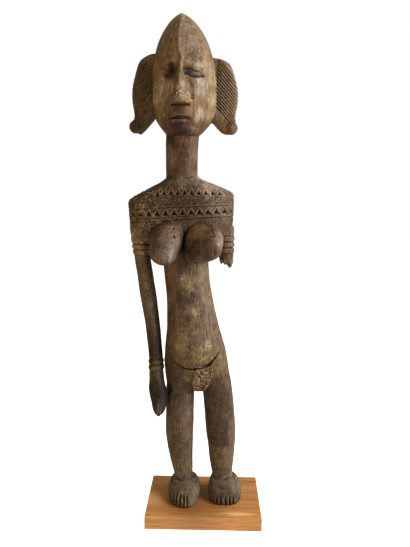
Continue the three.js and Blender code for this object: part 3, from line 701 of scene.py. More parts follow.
# The pitch of its arcs and dots, the pitch of its strokes, and how far down it the dots lie.
NICK_PITCH = 3.3
STROKE_PITCH = 3.6
DOT_DROP = 14.5


def panel_grid():
    """The shield: its outline carried back from its face. The face is pulled in a little at its
    rim, so that the edge is rounded, and the whole leans in at its foot."""
    corners = np.array(PANEL_OUTLINE + PANEL_OUTLINE[:1], float)
    way = np.arange(len(corners))
    fine = np.linspace(0, len(corners) - 1, 97)[:-1]
    outline = np.column_stack([np.interp(fine, way, corners[:, i]) for i in (0, 1)])
    middle = outline.mean(0)
    lean = math.cos(PANEL["tilt"]), math.sin(PANEL["tilt"])
    rows = []
    for share, back in PANEL_ROWS:
        flat = middle + share * (outline - middle)
        x = PANEL["x"] + flat[:, 0]
        y = PANEL["y"] + back * lean[0] - flat[:, 1] * lean[1]
        z = PANEL["top"] + flat[:, 1] * lean[0] + back * lean[1]
        rows.append(np.column_stack([x, y, z]))
    return np.array(rows)


def cut_panel(p, n):
    """The nicks on the shield: arcs round its upper corner, a row of dots, and short strokes
    straight across, all uneven and worn into crumbs."""
    across = p[:, 0] - PANEL["x"]
    drop = PANEL["top"] - p[:, 2]
    wander = 0.8 * lattice_noise(p, (5, 5, 5), 21)
    arcs = np.abs((np.hypot(across - 9, drop - 1) / NICK_PITCH + wander) % 1 - 0.5) * 2
    lines = np.abs((drop / STROKE_PITCH + 0.05 * across + wander) % 1 - 0.5) * 2
    upper = (across < 2) & (drop < 13)
    broken = np.clip(0.55 + lattice_noise(p, (3, 3, 3), 24), 0, 1)
    out = -1.0 * broken * np.clip(1.15 - 1.5 * np.where(upper, arcs, lines), 0, 1)
    dots = np.abs(((across + 1) / NICK_PITCH) % 1 - 0.5) * NICK_PITCH
    out -= 1.5 * mound(np.hypot(dots, drop - DOT_DROP), 1.3) * (across > -8) * (across < 9)
    crumbs = lattice_noise(p, (2.2, 2.2, 2.2), 22) + 0.7 * lattice_noise(p, (1.2, 1.2, 1.2), 23)
    out += 0.9 * crumbs
    shield_front = PANEL["y"] + drop * math.tan(PANEL["tilt"])
    on = np.clip((15.5 - np.abs(across + 0.5 - 0.1 * (17 - drop))) / 3, 0, 1)
    on = on * np.clip((38 - drop) / 2, 0, 1) * np.clip((drop + 1.5 - 0.12 * across) / 2, 0, 1)
    return out * on * (n[:, 1] < -0.2) * np.clip(1 - (p[:, 1] - shield_front) / 4.5, 0, 1)


wood.append(panel_grid())
cuts.append((150, 196, cut_panel))

# The arms: the right one hangs whole, with three armlets, three rings at the wrist and a flat
# hand in shallow fingers. The left one is broken off below its armlets, and has a long splinter.
RIGHT_ARM = [
    (124.5, -57.4, -15, 2.2, 2.2, 2, 2),
    (128, -57.2, -14.6, 5, 3.8, 3.4, 2),
    (133, -56.9, -14, 7.7, 5.2, 4.6, 1.9),
    (141, -56.9, -13, 9.6, 6.6, 5.6, 1.8),
    (149, -57.7, -12, 10.8, 7.6, 6.6, 1.8),
    (159, -59.1, -11, 11.2, 8.4, 7.2, 1.8),
    (168, -60, -10, 9.8, 8.4, 7.8, 2),
    (194, -61.3, -6, 8.8, 8.8, 8.6, 2),
    (211, -63.4, -2, 9, 9.2, 9.4, 2),
    (234, -66.2, 2, 9.3, 9.8, 10, 2),
    (256, -69.8, 5, 9.8, 10.6, 10.8, 2),
    (279, -73.6, 6, 10.3, 11.2, 11.6, 2),
    (301, -76.8, 6, 9.9, 11.6, 12, 2),
    (316, -79.2, 5.5, 10, 12, 12.4, 2),
    (346, -81.8, 5, 11.4, 13.6, 14, 2.2),
    (360, -82.4, 5, 12, 16, 17, 2.4),
]
LEFT_ARM = [
    (315.5, 23.4, 5, 8, 10.2, 10.6, 2),
    (322, 23.2, 5, 8.8, 11.2, 11.6, 2),
    (334, 21.6, 5, 10.4, 12.4, 12.8, 2),
    (346, 20.6, 5, 11.5, 13.6, 14, 2.2),
    (360, 20.2, 5, 12, 16, 17, 2.4),
]
SPLINTERS = [
    [
        (308.4, 27.4, 3.5, 0.8, 1, 1, 2),
        (312, 27.8, 3.5, 3.2, 4, 4, 2),
        (320, 27.8, 3.5, 4.2, 6.5, 6.5, 2),
    ],
    [
        (311.8, 22.4, 9, 0.5, 0.8, 0.8, 2),
        (314.5, 22.6, 9, 2, 2.6, 2.6, 2),
        (320, 22.8, 9, 3, 4, 4, 2),
    ],
    [
        (313, 17.6, 0.5, 0.5, 0.8, 0.8, 2),
        (315.5, 17.8, 0.5, 1.6, 2.4, 2.4, 2),
        (320, 18, 0.5, 2.4, 4, 4, 2),
    ],
]
# The rings on a limb: their slope, the depth of the knife line on each side of them, and for each
# its middle, its height, and how far it stands out.
RINGS = [
    {"limb": RIGHT_ARM, "slope": 0.02, "line": 0.4,
     "rings": [(341.6, 8.6, 1.2), (333.8, 6.2, 1.2), (327, 6.6, 1)]},
    {"limb": LEFT_ARM, "slope": -0.02, "line": 0.8,
     "rings": [(345, 6.9, 1), (337.8, 6.9, 1.1), (330.6, 6.8, 1.1)]},
    {"limb": RIGHT_ARM, "slope": 0.08, "line": 0.4, "rings": [(193, 6.2, 1.1), (186, 6.8, 1.2)]},
]
# Where the cuts between the fingers lie across the hand, what they fan out from, and the levels of
# the hand and of the tear.
FINGER_GAPS = [-60.4, -56.6, -53.4]
HAND_MIDDLE = -57.6
FINGERTIPS = 130
KNUCKLES = 146
HAND_TOP = 152
TEAR_TOP = 324
wood += [tower(stations) for stations in (RIGHT_ARM, LEFT_ARM, *SPLINTERS)]


def cut_arms(p, n):
    """Half-round rings with a knife line on each side of them, shallow cuts between the fingers,
    and the torn end of the left arm, which is ragged along the grain."""
    out = np.zeros(len(p))
    for group in RINGS:
        low, high = group["limb"][0][0], group["limb"][-1][0]
        _, x, y, half, front, back, _ = through(group["limb"], np.clip(p[:, 2], low, high)).T
        reach = np.where(p[:, 1] < y, front, back)
        near = np.clip((1.34 - np.hypot((p[:, 0] - x) / half, (p[:, 1] - y) / reach)) / 0.14, 0, 1)
        for middle, height, rise in group["rings"]:
            level = p[:, 2] - middle - group["slope"] * (p[:, 0] - x)
            round_top = np.sqrt(np.clip(1 - (2 * level / height) ** 2, 0, 1))
            line = cut(np.abs(np.abs(level) - 0.5 * height), 0.9)
            out += near * (rise * round_top - group["line"] * line)
    tips = (p[:, 2] < HAND_TOP) & (p[:, 1] < -8) & (p[:, 0] < -44)
    for x in FINGER_GAPS:
        gap = np.abs(p[:, 0] - x - 0.03 * (x - HAND_MIDDLE) * (p[:, 2] - FINGERTIPS))
        out -= 0.8 * cut(gap, 1.0) * tips * np.clip((KNUCKLES - p[:, 2]) / 10, 0, 1)
    torn = (p[:, 2] > 305) & (p[:, 0] > 12) & (p[:, 1] > -12) & (p[:, 1] < 22)
    ragged = lattice_noise(p, (1.6, 1.6, 9), 31) + 0.6 * lattice_noise(p, (0.9, 0.9, 5), 32)
    out += 1.1 * ragged * torn * np.clip((TEAR_TOP - p[:, 2]) / 4, 0, 1)
    return out


cuts.append((124, 352, cut_arms))

# The legs and feet: sturdy columns with full calves, on low domed feet. The toes are parted by
# short deep cuts, and a knife line runs round each ankle.
SOLE = 16
RIGHT_LEG = [
    (30, -26, 4, 11.4, 11, 13, 2.2),
    (46, -26.6, 2.5, 12, 12, 13.5, 2.2),
    (54, -27.6, 2, 13, 13, 15.5, 2.2),
    (70, -29.7, 2, 14.8, 14.5, 19, 2.2),
    (86, -31.3, 2, 16.5, 16.5, 19.5, 2.2),
    (102, -31.9, 1, 17.5, 18.5, 18.5, 2.3),
    (117, -31.8, 1.5, 17.8, 19, 19, 2.3),
    (133, -31.8, 3, 17.8, 19.5, 21.5, 2.3),
    (149, -31.8, 5, 17.8, 20, 24.5, 2.4),
    (172, -30, 7, 18.5, 20, 28, 2.4),
    (186, -27.5, 6.5, 18, 20, 27, 2.4),
    (198, -24.5, 6, 16.5, 17, 24, 2.4),
]
LEFT_LEG = [
    (30, 23.4, 4, 12, 11.5, 13, 2.2),
    (46, 22.7, 2.5, 12.8, 12.5, 13.5, 2.2),
    (54, 22.2, 2, 13.8, 13.5, 15.5, 2.2),
    (70, 21.6, 2, 15.9, 15, 19, 2.2),
    (86, 21.2, 2, 17.3, 16.5, 19.5, 2.2),
    (102, 20.2, 1, 18.7, 18.5, 19, 2.3),
    (117, 19, 1.5, 18.9, 19, 19.5, 2.3),
    (133, 17.5, 3, 18.8, 19.5, 22, 2.3),
    (149, 15.8, 5, 18.8, 20, 25, 2.4),
    (172, 10.6, 7, 20.3, 20.5, 28.5, 2.4),
    (184, 7.6, 6.5, 20, 20.5, 28, 2.4),
    (198, 3.5, 6, 18, 17, 24, 2.4),
]
RIGHT_FOOT = [
    (SOLE, -25.4, 2, 19.4, 36.5, 27, 2.5),
    (SOLE + 4, -25.4, 2, 20.2, 38.5, 28.5, 2.5),
    (SOLE + 9, -25.4, 2, 20.3, 36.5, 28.5, 2.5),
    (SOLE + 14, -25.2, 2, 19.8, 29, 27.5, 2.4),
    (SOLE + 19, -25, 3, 18.4, 21.5, 25, 2.3),
    (SOLE + 23, -25.2, 4, 16, 17.5, 21, 2.2),
    (SOLE + 25.5, -25.5, 4, 13, 13.5, 17, 2.1),
]
LEFT_FOOT = [
    (SOLE, 26.4, 2, 20, 28.5, 28, 2.5),
    (SOLE + 4, 26.4, 2, 21, 30.5, 29.5, 2.5),
    (SOLE + 9, 26.4, 2, 21.2, 29, 29.5, 2.5),
    (SOLE + 14, 26.2, 2, 20.6, 23.5, 28.5, 2.4),
    (SOLE + 19, 25.8, 3, 19.4, 19.5, 26, 2.3),
    (SOLE + 24, 25.2, 4, 17, 16.5, 22, 2.2),
    (SOLE + 27, 24.6, 4, 14, 13.5, 18, 2.1),
]
# How far the toes fall back towards the outer side, how the inner side is rounded off, where the
# toes begin, and where the cuts between them lie and how far back they go. The cuts fan out.
FEET = [
    {"stations": RIGHT_FOOT, "slant": -0.42, "trim": 0.032, "front": -27.5,
     "cuts": [(-38.2, 2), (-33.7, 2), (-29.2, 1.5), (-24.7, 1.5), (-20.8, 2)]},
    {"stations": LEFT_FOOT, "slant": -0.05, "trim": 0, "front": -26,
     "cuts": [(15.9, 4), (20.6, 3), (26.8, 2.5), (32.4, 3), (36.8, 4)]},
]
FAN = 0.012
# The knife line round each ankle, and the middles of the rough knobs beside it.
ANKLES = [
    [(-38, 1, 42), (-35, -7, 41.2), (-27, -10, 40), (-17, -8, 41.5), (-13, 0, 44.5)],
    [(11, 0, 40), (14, -7, 39.5), (23, -10, 41), (32, -8, 44.5), (37, 0, 47)],
]
ANKLE_KNOBS = [(-38, -3, 40), (-11, 2, 41), (11.5, -2, 41), (38, 0, 43.5)]
for foot in FEET:
    _, foot_x, foot_y, _, reach, *_ = foot["stations"][1]
    dome = tower(foot["stations"], 0.7)
    wood.append(drawn_back(dome, foot_x, foot_y, reach, foot["slant"], foot["trim"]))
wood += [tower(RIGHT_LEG), tower(LEFT_LEG)]


def cut_feet(p, n):
    """Cuts between the short toes, the line round each ankle, and a rough knob beside it."""
    out = np.zeros(len(p))
    wander = 0.5 * lattice_noise(p, (4, 4, 4), 52)
    for foot in FEET:
        foot_x = foot["stations"][0][1]
        for x, length in foot["cuts"]:
            across = x - foot_x
            lean = x + across * FAN * (foot["front"] - p[:, 1]) + wander
            front = foot["front"] + foot["slant"] * across + foot["trim"] * max(across, 0) ** 2
            fades = np.clip((front + length - p[:, 1]) / 4, 0, 1)
            out -= 2.8 * cut(np.abs(p[:, 0] - lean), 1.3, 0.8) * fades
    out *= n[:, 2] > -0.7
    for ankle in ANKLES:
        front = mound((p[:, 0] - ankle[2][0]) / 13, 1)
        out -= 1.4 * front * cut(to_line(p, curved(ankle)), 1.6)
    for x, y, z in ANKLE_KNOBS:
        knob = mound(np.linalg.norm(p - (x, y, z), axis=1), 8)
        out += knob * (1.5 + 1.2 * lattice_noise(p, (1.8, 1.8, 1.8), 51))
    return out


cuts.append((SOLE + 0.5, 56, cut_feet))


# The carving put together. The sections melt into one skin of small squares, the seams between
# them are eased, and then the knife work moves the skin in or out along its own normals.
def applied(thing):
    """The mesh of an object with its modifiers worked in."""
    graph = bpy.context.evaluated_depsgraph_get()
    return bpy.data.meshes.new_from_object(thing.evaluated_get(graph))


def one_skin(grids, square):
    """The closed grids as one mesh, melted into a single skin of even squares."""
    points, faces, first = [], [], 0
    for grid in grids:
        rows, sides, _ = grid.shape
        low = first + np.arange(rows - 1)[:, None] * sides
        high = low + sides
        here = np.arange(sides)
        after = (here + 1) % sides
        faces.append(np.stack([low + here, low + after, high + after, high + here], 2))
        points.append(grid.reshape(-1, 3))
        first += rows * sides
    rough = bpy.data.meshes.new("rough")
    rough.from_pydata(np.concatenate(points), [], np.concatenate([f.reshape(-1, 4) for f in faces]))
    block = bpy.data.objects.new("rough", rough)
    scene.collection.objects.link(block)
    melt = block.modifiers.new("one skin", "REMESH")
    melt.mode = "VOXEL"
    melt.voxel_size = square
    skin = applied(block)
    bpy.data.objects.remove(block)
    bpy.data.meshes.remove(rough)
    return skin


def read(collection, name, width, kind=np.float32):
    """One property of every item of a mesh's collection as an array."""
    values = np.zeros(len(collection) * width, kind)
    collection.foreach_get(name, values)
    return values.reshape(-1, width).astype(int if kind == np.int32 else float)


def spread(values, edges, times):
    """Values averaged over each vertex and its neighbours, a number of times."""
    count = 1 + np.bincount(edges.ravel(), minlength=len(values))
    for _ in range(times):
        total = values.copy()
        for column in range(values.shape[1]):
            total[:, column] += np.bincount(edges[:, 0], values[edges[:, 1], column], len(values))
            total[:, column] += np.bincount(edges[:, 1], values[edges[:, 0], column], len(values))
        values = total / count[:, None]
    return values


# The squares are fine enough for a knife line. No stroke swells past the front of the breasts.
SQUARE = 0.65
FRONT = -60
# How many times a place is averaged with its neighbours: over the whole skin and at its seams, and
# then to find the narrow and the wide edges and hollows.
EVENED = 5
EASED = 30
NARROW = 6
WIDE = 36
# Seams that the carver smoothed away, over the hips and where each lobe runs into its knob: the
# middle of each, and how far round it the wood is eased.
SMOOTHED = [
    (-45, 0, 176, 26),
    (25, 0, 178, 24),
    (-20, -20, 276, 22),
    (28, 8, 484, 9),
    (-88, 8, 486, 11),
]
skin = one_skin(wood, SQUARE)
edges = read(skin.edges, "vertices", 2, np.int32)
p = spread(read(skin.vertices, "co", 3), edges, EVENED)
blended = spread(p, edges, EASED)
for x, y, z, radius in SMOOTHED:
    share = mound(np.linalg.norm(p - (x, y, z), axis=1), radius) ** 0.5
    p = p + share[:, None] * (blended - p)
skin.vertices.foreach_set("co", p.astype(np.float32).ravel())
skin.update()
n = read(skin.vertex_normals, "vector", 3)
# The adze leaves long shallow facets along the grain.
facets = np.abs(lattice_noise(p, (6, 6, 26), 41))
facets += 0.5 * np.abs(lattice_noise(p, (3.4, 3.4, 14), 42))
out = 0.15 * lattice_noise(p, (9, 9, 9), 43) - 0.22 * facets
for low, high, knife in cuts:
    within = np.flatnonzero((p[:, 2] > low) & (p[:, 2] < high))
    out[within] += knife(p[within], n[within])
above_plinth = np.clip((p[:, 2] - SOLE) / 1.5, 0, 1)
p = p + n * (out * above_plinth)[:, None]
p[:, 1] = np.maximum(p[:, 1], FRONT)

# Where the skin stands out from its own average it is an edge, which hands rub. Where it lies
# below, it is darkened by dust and soot and by painted shade. Feet and neck are less rubbed, and
# the carved bands less darkened.
RUBBED_LEVELS = [30, 70, 350, 362, 405, 415, 460, 475]
RUBBED_SHARES = [0.5, 0.8, 0.8, 0.7, 0.7, 0.4, 0.4, 0.9]
SOOT_AND_SHADE_LEVELS = [360, 366, 405, 410]
SOOT_AND_SHADE_SHARES = [1, 0.6, 0.6, 1]
close = np.einsum("ij,ij->i", p - spread(p, edges, NARROW), n)
wide = np.einsum("ij,ij->i", p - spread(p, edges, WIDE), n)
rubbed = 0.7 * np.clip((close - 0.05) / 0.4, 0, 1) + 0.3 * np.clip((wide - 0.3) / 1.0, 0, 1)
rubbed *= np.interp(p[:, 2], RUBBED_LEVELS, RUBBED_SHARES)
soot_and_painted_shade = 0.8 * np.clip((-close - 0.03) / 0.35, 0, 1) + 0.7 * np.clip((-wide - 0.12) / 1.1, 0, 1)
soot_and_painted_shade *= np.interp(p[:, 2], SOOT_AND_SHADE_LEVELS, SOOT_AND_SHADE_SHARES)
# Painted shade: the eyes, the mouth, the valleys beside the nose and the insect holes are painted
# dark as well.
soot_and_painted_shade = np.maximum(np.maximum(soot_and_painted_shade, painted_shade_on_face(p)), -bore_holes(p, n) / HOLE_DEPTH)
# Painted shade: the side of the arm that faces the body is painted dark, and is less rubbed.
arm_side_in_painted_shade = (p[:, 0] < -44) & (p[:, 2] > 120) & (p[:, 2] < 326)
rubbed *= 1 - 0.7 * arm_side_in_painted_shade
soot_and_painted_shade = np.maximum(soot_and_painted_shade, arm_side_in_painted_shade * 0.6 * np.clip((n[:, 0] - 0.25) / 0.35, 0, 1))


def paint(code):
    """A colour given as six hexadecimal digits, as linear red, green, blue and alpha."""
    shares = [int(code[i : i + 2], 16) / 255 for i in (0, 2, 4)]
    return [s / 12.92 if s <= 0.04045 else ((s + 0.055) / 1.055) ** 2.4 for s in shares] + [1]


# The patina's colour by height, and then the places where handling, oil, smoke and dust have
# changed it, and the places with painted shade, painted shadow and painted highlights: the middle,
# the reach, the colour, how far it takes over, and how crusted it is.
PATINA = [
    (16, "594b3d"),
    (40, "574a3b"),
    (60, "5d5039"),
    (80, "564938"),
    (120, "504134"),
    (165, "4c3d31"),
    (195, "58472f"),
    (235, "5a4a38"),
    (295, "5c4d3d"),
    (330, "4e3e30"),
    (365, "4a3a2e"),
    (405, "4a392b"),
    (415, "564634"),
    (432, "50382a"),
    (462, "4c3525"),
    (480, "523d2a"),
    (505, "685239"),
    (550, "665139"),
    (590, "6f6049"),
    (608, "82735c"),
]
PLACES = [
    (-92, 8, 520, 42, "46361f", 0.9, 0.1),
    (32, 8, 520, 42, "645748", 0.85, 0.1),
    (-90, 8, 480, 20, "3c2d1b", 0.9, 0),
    (28, 8, 478, 18, "52402f", 0.9, 0),
    (-49, -28, 562, 20, "756148", 0.7, 0.1),
    (-15, -26, 572, 24, "6a5846", 0.6, 0),
    (-17, -30, 556, 12, "58483b", 0.8, 0.15),
    (-4, -18, 545, 9, "857361", 0.6, 0.2),
    (-33, -42, 509, 11, "8b775d", 0.9, 0.8),
    (-31, -37, 522, 7, "a5947a", 0.8, 0.4),
    (-23, -35, 508, 8, "857359", 0.8, 0.5),
    (-26, -38, 524, 9, "7a6851", 0.7, 0.2),
    (-42, -31, 517, 10, "b59c7c", 0.8, 0.1),
    (-51, -24, 508, 9, "4e3826", 0.7, 0),
    # Painted shade in the eye hollows and their inner corners.
    (-18, -28, 536, 11, "4a3828", 0.75, 0.1),
    (-25, -29, 537, 7, "24160c", 0.85, 0),
    (-44, -29, 537, 9, "24160c", 0.9, 0),
    (-53, -26, 534, 8, "4c3b28", 0.7, 0.1),
    # Painted highlight on the brow over the eye.
    (-14, -27, 543, 6, "a8957c", 0.7, 0.5),
    (-16, -28, 556, 12, "5b4a3c", 0.8, 0.6),
    # Painted light on the side strip of the face towards the fill lamp.
    (-60, -14, 514, 20, "978769", 0.8, 0.1),
    (-58, -16, 492, 14, "7b6849", 0.7, 0.1),
    # Painted sheen on the cheek under the eye, towards the key lamp.
    (-11, -24, 521, 13, "8c8077", 0.8, 0.25),
    (-9, -23, 503, 9, "614a37", 0.6, 0.2),
    (-9, -24, 489, 11, "8f7968", 0.7, 0),
    # Painted shadow under the nose, and painted shade on the chin, which faces down.
    (-33, -33, 494, 11, "4a3222", 0.7, 0),
    (-33, -31, 474, 15, "291911", 0.9, 0),
    (3, -12, 530, 12, "83734f", 0.75, 0.1),
    (3, -12, 508, 13, "83734f", 0.75, 0.1),
    (-1, -14, 488, 10, "7d6845", 0.7, 0.1),
    (-64, -8, 545, 12, "7a6848", 0.5, 0),
    (-48, -10, 458, 12, "20160e", 0.85, 0.1),
    (-29, -18, 446, 16, "30180c", 0.85, 0.25),
    (-33, -17, 430, 14, "3f281d", 0.8, 0),
    (-46, -10, 440, 15, "6e5a43", 0.8, 0.1),
    (-15, -8, 445, 12, "5a4a3c", 0.7, 0),
    (-50, -22, 386, 42, "35261b", 0.75, 0.1),
    (-76, -20, 388, 17, "47372a", 0.85, 0.75),
    (-82, -18, 373, 16, "4b3b29", 0.85, 0.8),
    (-68, -21, 364, 13, "47382a", 0.8, 0.7),
    (-64, -21, 398, 13, "3c2c1f", 0.8, 0.5),
    (-88, -12, 362, 16, "574831", 0.7, 0.5),
    (-48, -23, 372, 13, "3a2b20", 0.7, 0.35),
    (-48, -22, 390, 14, "36281c", 0.7, 0.3),
    (-86, -2, 345, 20, "8b7553", 0.8, 0.2),
    (-84, -4, 330, 15, "8b7653", 0.8, 0.2),
    (-78, -2, 300, 26, "58492f", 0.8, 0.15),
    (-77, -6, 292, 9, "6a5c40", 0.7, 0.4),
    (-70, -4, 268, 20, "524330", 0.8, 0.1),
    (-63, -4, 232, 26, "40322a", 0.85, 0),
    # Painted shade: the arm darkens towards the hand beside the thigh, which is painted nearly
    # black.
    (-66, -10, 206, 24, "2b1c12", 0.9, 0),
    (-60, -16, 156, 30, "1a0d06", 0.97, 0),
    # Painted sheen: the front of the right breast is painted grey, as a shine.
    (-45, -58, 328, 15, "6f665c", 0.75, 0),
    (-42, -50, 345, 16, "625549", 0.7, 0),
    (-55, -58, 326, 5, "7a5430", 0.75, 0.2),
    (-48, -38, 360, 13, "5c4b3c", 0.6, 0.2),
    (-10, -38, 354, 18, "6b563d", 0.9, 0),
    # Painted shade on the inner side and the underside of the left breast.
    (-14, -46, 334, 17, "2a1b12", 0.85, 0),
    (4, -52, 328, 14, "3a261b", 0.85, 0),
    # Painted light: the outer plane of the left breast is painted a greyer tan, as sheen, with a
    # painted highlight along its worn edge.
    (15, -46, 346, 12, "8f7c67", 0.85, 0),
    (12, -56, 342, 3, "a8957a", 0.5, 0.4),
    (23, 2, 345, 16, "655841", 0.8, 0.1),
    (26, 3, 318, 12, "6a5947", 0.8, 0.4),
    (12, -22, 388, 22, "65564a", 0.75, 0.15),
    (-30, -22, 388, 22, "2c1e14", 0.75, 0.15),
    # Painted sheen on the roof of the shoulders towards the key lamp.
    (6, -12, 408, 22, "8b7e6e", 0.8, 0),
    (-32, -18, 411, 9, "6a5a42", 0.6, 0.5),
    (-47, -8, 290, 16, "583d25", 0.8, 0),
    (-45, -10, 235, 22, "553c25", 0.7, 0),
    (-24, -17, 292, 7, "94835f", 0.85, 0.9),
    (-29, -17, 298, 5, "94835f", 0.8, 0.9),
    (-20, -17, 284, 4, "94835f", 0.85, 0.9),
    (-17, -17, 274, 11, "3c2d24", 0.9, 0),
    (-29, -17, 272, 10, "3c2d24", 0.9, 0),
    (-22, -23, 250, 6, "2f221a", 0.95, 0.1),
    (-13, -21, 257, 7, "837458", 0.8, 0.8),
    (-30, -26, 226, 18, "7a654c", 0.75, 0.2),
    (-10, -28, 208, 16, "5c4c35", 0.6, 0.35),
    (-2, -24, 202, 8, "7b6c52", 0.6, 0.5),
    (0, -26, 217, 9, "84745a", 0.7, 0.8),
    (4, -20, 232, 14, "5c4d41", 0.7, 0.1),
    (-8, -20, 290, 12, "5c4c40", 0.7, 0.1),
    (-41, -16, 185, 18, "42332a", 0.75, 0),
    (20, -12, 184, 16, "57472f", 0.7, 0.1),
    (-6, -20, 172, 17, "85745a", 0.9, 0.7),
    (-2, -24, 184, 8, "907e60", 0.7, 0.8),
    (-30, -16, 130, 20, "55463a", 0.5, 0),
    (12, -16, 156, 30, "2a1b11", 0.75, 0),
    (14, -17, 118, 28, "322317", 0.7, 0),
    (17, -15, 92, 20, "30241a", 0.75, 0),
    (22, -13, 68, 18, "493d29", 0.7, 0.2),
    (-24, -24, 30, 20, "514333", 0.85, 0.2),
    (26, -20, 30, 20, "3b2d1f", 0.85, 0.12),
    (-38, -3, 40, 8, "443425", 0.8, 0.9),
    (-10, 2, 41, 8, "443425", 0.8, 0.9),
    (12, -2, 41, 7, "443425", 0.8, 0.9),
    (38, 0, 43, 8, "443425", 0.8, 0.9),
]


def painted_colour_and_crust(p):
    """The colour and crust of each place: the colour by height, over which each listed place
    takes its share, full inside half of its reach and easing to nothing, with a wavering rim."""
    levels, codes = zip(*PATINA)
    shades = np.array([paint(code)[:3] for code in codes])
    colour = np.column_stack([np.interp(p[:, 2], levels, shade) for shade in shades.T])
    crust = np.zeros(len(p))
    waver = 0.36 * lattice_noise(p, (9, 9, 12), 61) + 0.3 * lattice_noise(p, (3.2, 3.2, 5), 62)
    for x, y, z, reach, code, strength, crusted in PLACES:
        near = np.flatnonzero(np.abs(p[:, 2] - z) < 1.6 * reach)
        gap = np.linalg.norm(p[near] - (x, y, z), axis=1) / reach + waver[near]
        share = np.clip((1.1 - gap) / 0.65, 0, 1)
        share = share * share * (3 - 2 * share)
        colour[near] += (strength * share)[:, None] * (np.array(paint(code)[:3]) - colour[near])
        crust[near] += share * (crusted - crust[near]) * (crusted > crust[near])
    return colour, crust


# Smoke and oil have warmed every colour.
SMOKED = (0.88, 0.91, 0.95)
patina_and_painted_light, crust = painted_colour_and_crust(p)
patina_and_painted_light *= SMOKED
soot_and_painted_shade *= 1 - 0.4 * crust
skin.vertices.foreach_set("co", (p * MM).astype(np.float32).ravel())
for name, values in (("rubbed", rubbed), ("soot_and_painted_shade", soot_and_painted_shade), ("crust", crust)):
    layer = skin.attributes.new(name, "FLOAT", "POINT")
    layer.data.foreach_set("value", np.clip(values, 0, 1).astype(np.float32))
# The colour attribute holds the patina together with its painted shade and painted highlights.
layer = skin.attributes.new("patina_and_painted_light", "FLOAT_COLOR", "POINT")
opaque = np.column_stack([patina_and_painted_light, np.ones(len(p))])
layer.data.foreach_set("color", opaque.astype(np.float32).ravel())
skin.update()

MOST_TRIANGLES = 196000
carved = bpy.data.objects.new("carved_standing_figure", skin)
scene.collection.objects.link(carved)
thin = carved.modifiers.new("thin", "DECIMATE")
thin.ratio = MOST_TRIANGLES / (2 * len(skin.polygons))
carved.data = applied(carved)
carved.modifiers.clear()
bpy.data.meshes.remove(skin)
carved.data.name = "carved_standing_figure"
carved.data.shade_smooth()


def new_material(name):
    """An empty material, with its tree and its surface."""
    material = bpy.data.materials.new(name)
    material.use_nodes = True
    return material, material.node_tree, material.node_tree.nodes["Principled BSDF"]


def join(tree, value, socket):
    """An input linked to an output, or set to a value."""
    if isinstance(value, bpy.types.NodeSocket):
        tree.links.new(value, socket)
    else:
        socket.default_value = value


def place(tree, kind, links=None, **settings):
    """A node in a tree with its settings, and its inputs set to values or linked to outputs."""
    node = tree.nodes.new(kind)
    for name, value in settings.items():
        setattr(node, name, value)
    for name, value in (links or {}).items():
        join(tree, value, node.inputs[name])
    return node


def noise(tree, where, scale, detail, roughness=0.5, distortion=0.0):
    """Cloudy noise from 0 to 1."""
    links = {"Vector": where, "Scale": scale, "Detail": detail}
    links.update({"Roughness": roughness, "Distortion": distortion})
    return place(tree, "ShaderNodeTexNoise", links).outputs["Fac"]


def between(tree, value, low, high, least=0.0, most=1.0):
    """A value eased from the least to the most as it goes from low to high."""
    links = {"Value": value, "From Min": low, "From Max": high, "To Min": least, "To Max": most}
    node = place(tree, "ShaderNodeMapRange", links, interpolation_type="SMOOTHSTEP")
    return node.outputs["Result"]


def mixed(tree, share, first, second, blend="MIX"):
    """Two colours mixed by a share."""
    node = place(tree, "ShaderNodeMix", data_type="RGBA", blend_type=blend)
    for socket, value in ((0, share), (6, first), (7, second)):
        join(tree, value, node.inputs[socket])
    return node.outputs[2]


def times(tree, first, second):
    """Two values multiplied."""
    node = place(tree, "ShaderNodeMath", {0: first, 1: second}, operation="MULTIPLY")
    return node.outputs["Value"]


def plus(tree, first, second):
    """Two values added."""
    node = place(tree, "ShaderNodeMath", {0: first, 1: second}, operation="ADD")
    return node.outputs["Value"]


def grey(value):
    """A grey colour."""
    return [value, value, value, 1]


# Wood grain: the vector is drawn out along the fibres. The broad output wanders slowly, and the
# fine one is single fibres.
grain_group = bpy.data.node_groups.new("wood grain", "ShaderNodeTree")
SOCKETS = {"Vector": "INPUT", "Fineness": "INPUT", "Broad": "OUTPUT", "Fine": "OUTPUT"}
for name, way in SOCKETS.items():
    kind = "NodeSocketVector" if name == "Vector" else "NodeSocketFloat"
    grain_group.interface.new_socket(name, in_out=way, socket_type=kind)
given = grain_group.nodes.new("NodeGroupInput").outputs
made = grain_group.nodes.new("NodeGroupOutput").inputs
broad = noise(grain_group, given["Vector"], given["Fineness"], 4.0, distortion=0.5)
finer = times(grain_group, given["Fineness"], 7.0)
fine = noise(grain_group, given["Vector"], finer, 3.0, 0.6)
grain_group.links.new(broad, made["Broad"])
grain_group.links.new(fine, made["Fine"])


def grained(tree, where, drawn_out, fineness):
    """The broad and the fine output of the wood grain, drawn out along one way."""
    along = place(tree, "ShaderNodeMapping", {"Vector": where, "Scale": drawn_out})
    links = {"Vector": along.outputs["Vector"], "Fineness": fineness}
    group = place(tree, "ShaderNodeGroup", links, node_tree=grain_group)
    return group.outputs["Broad"], group.outputs["Fine"]


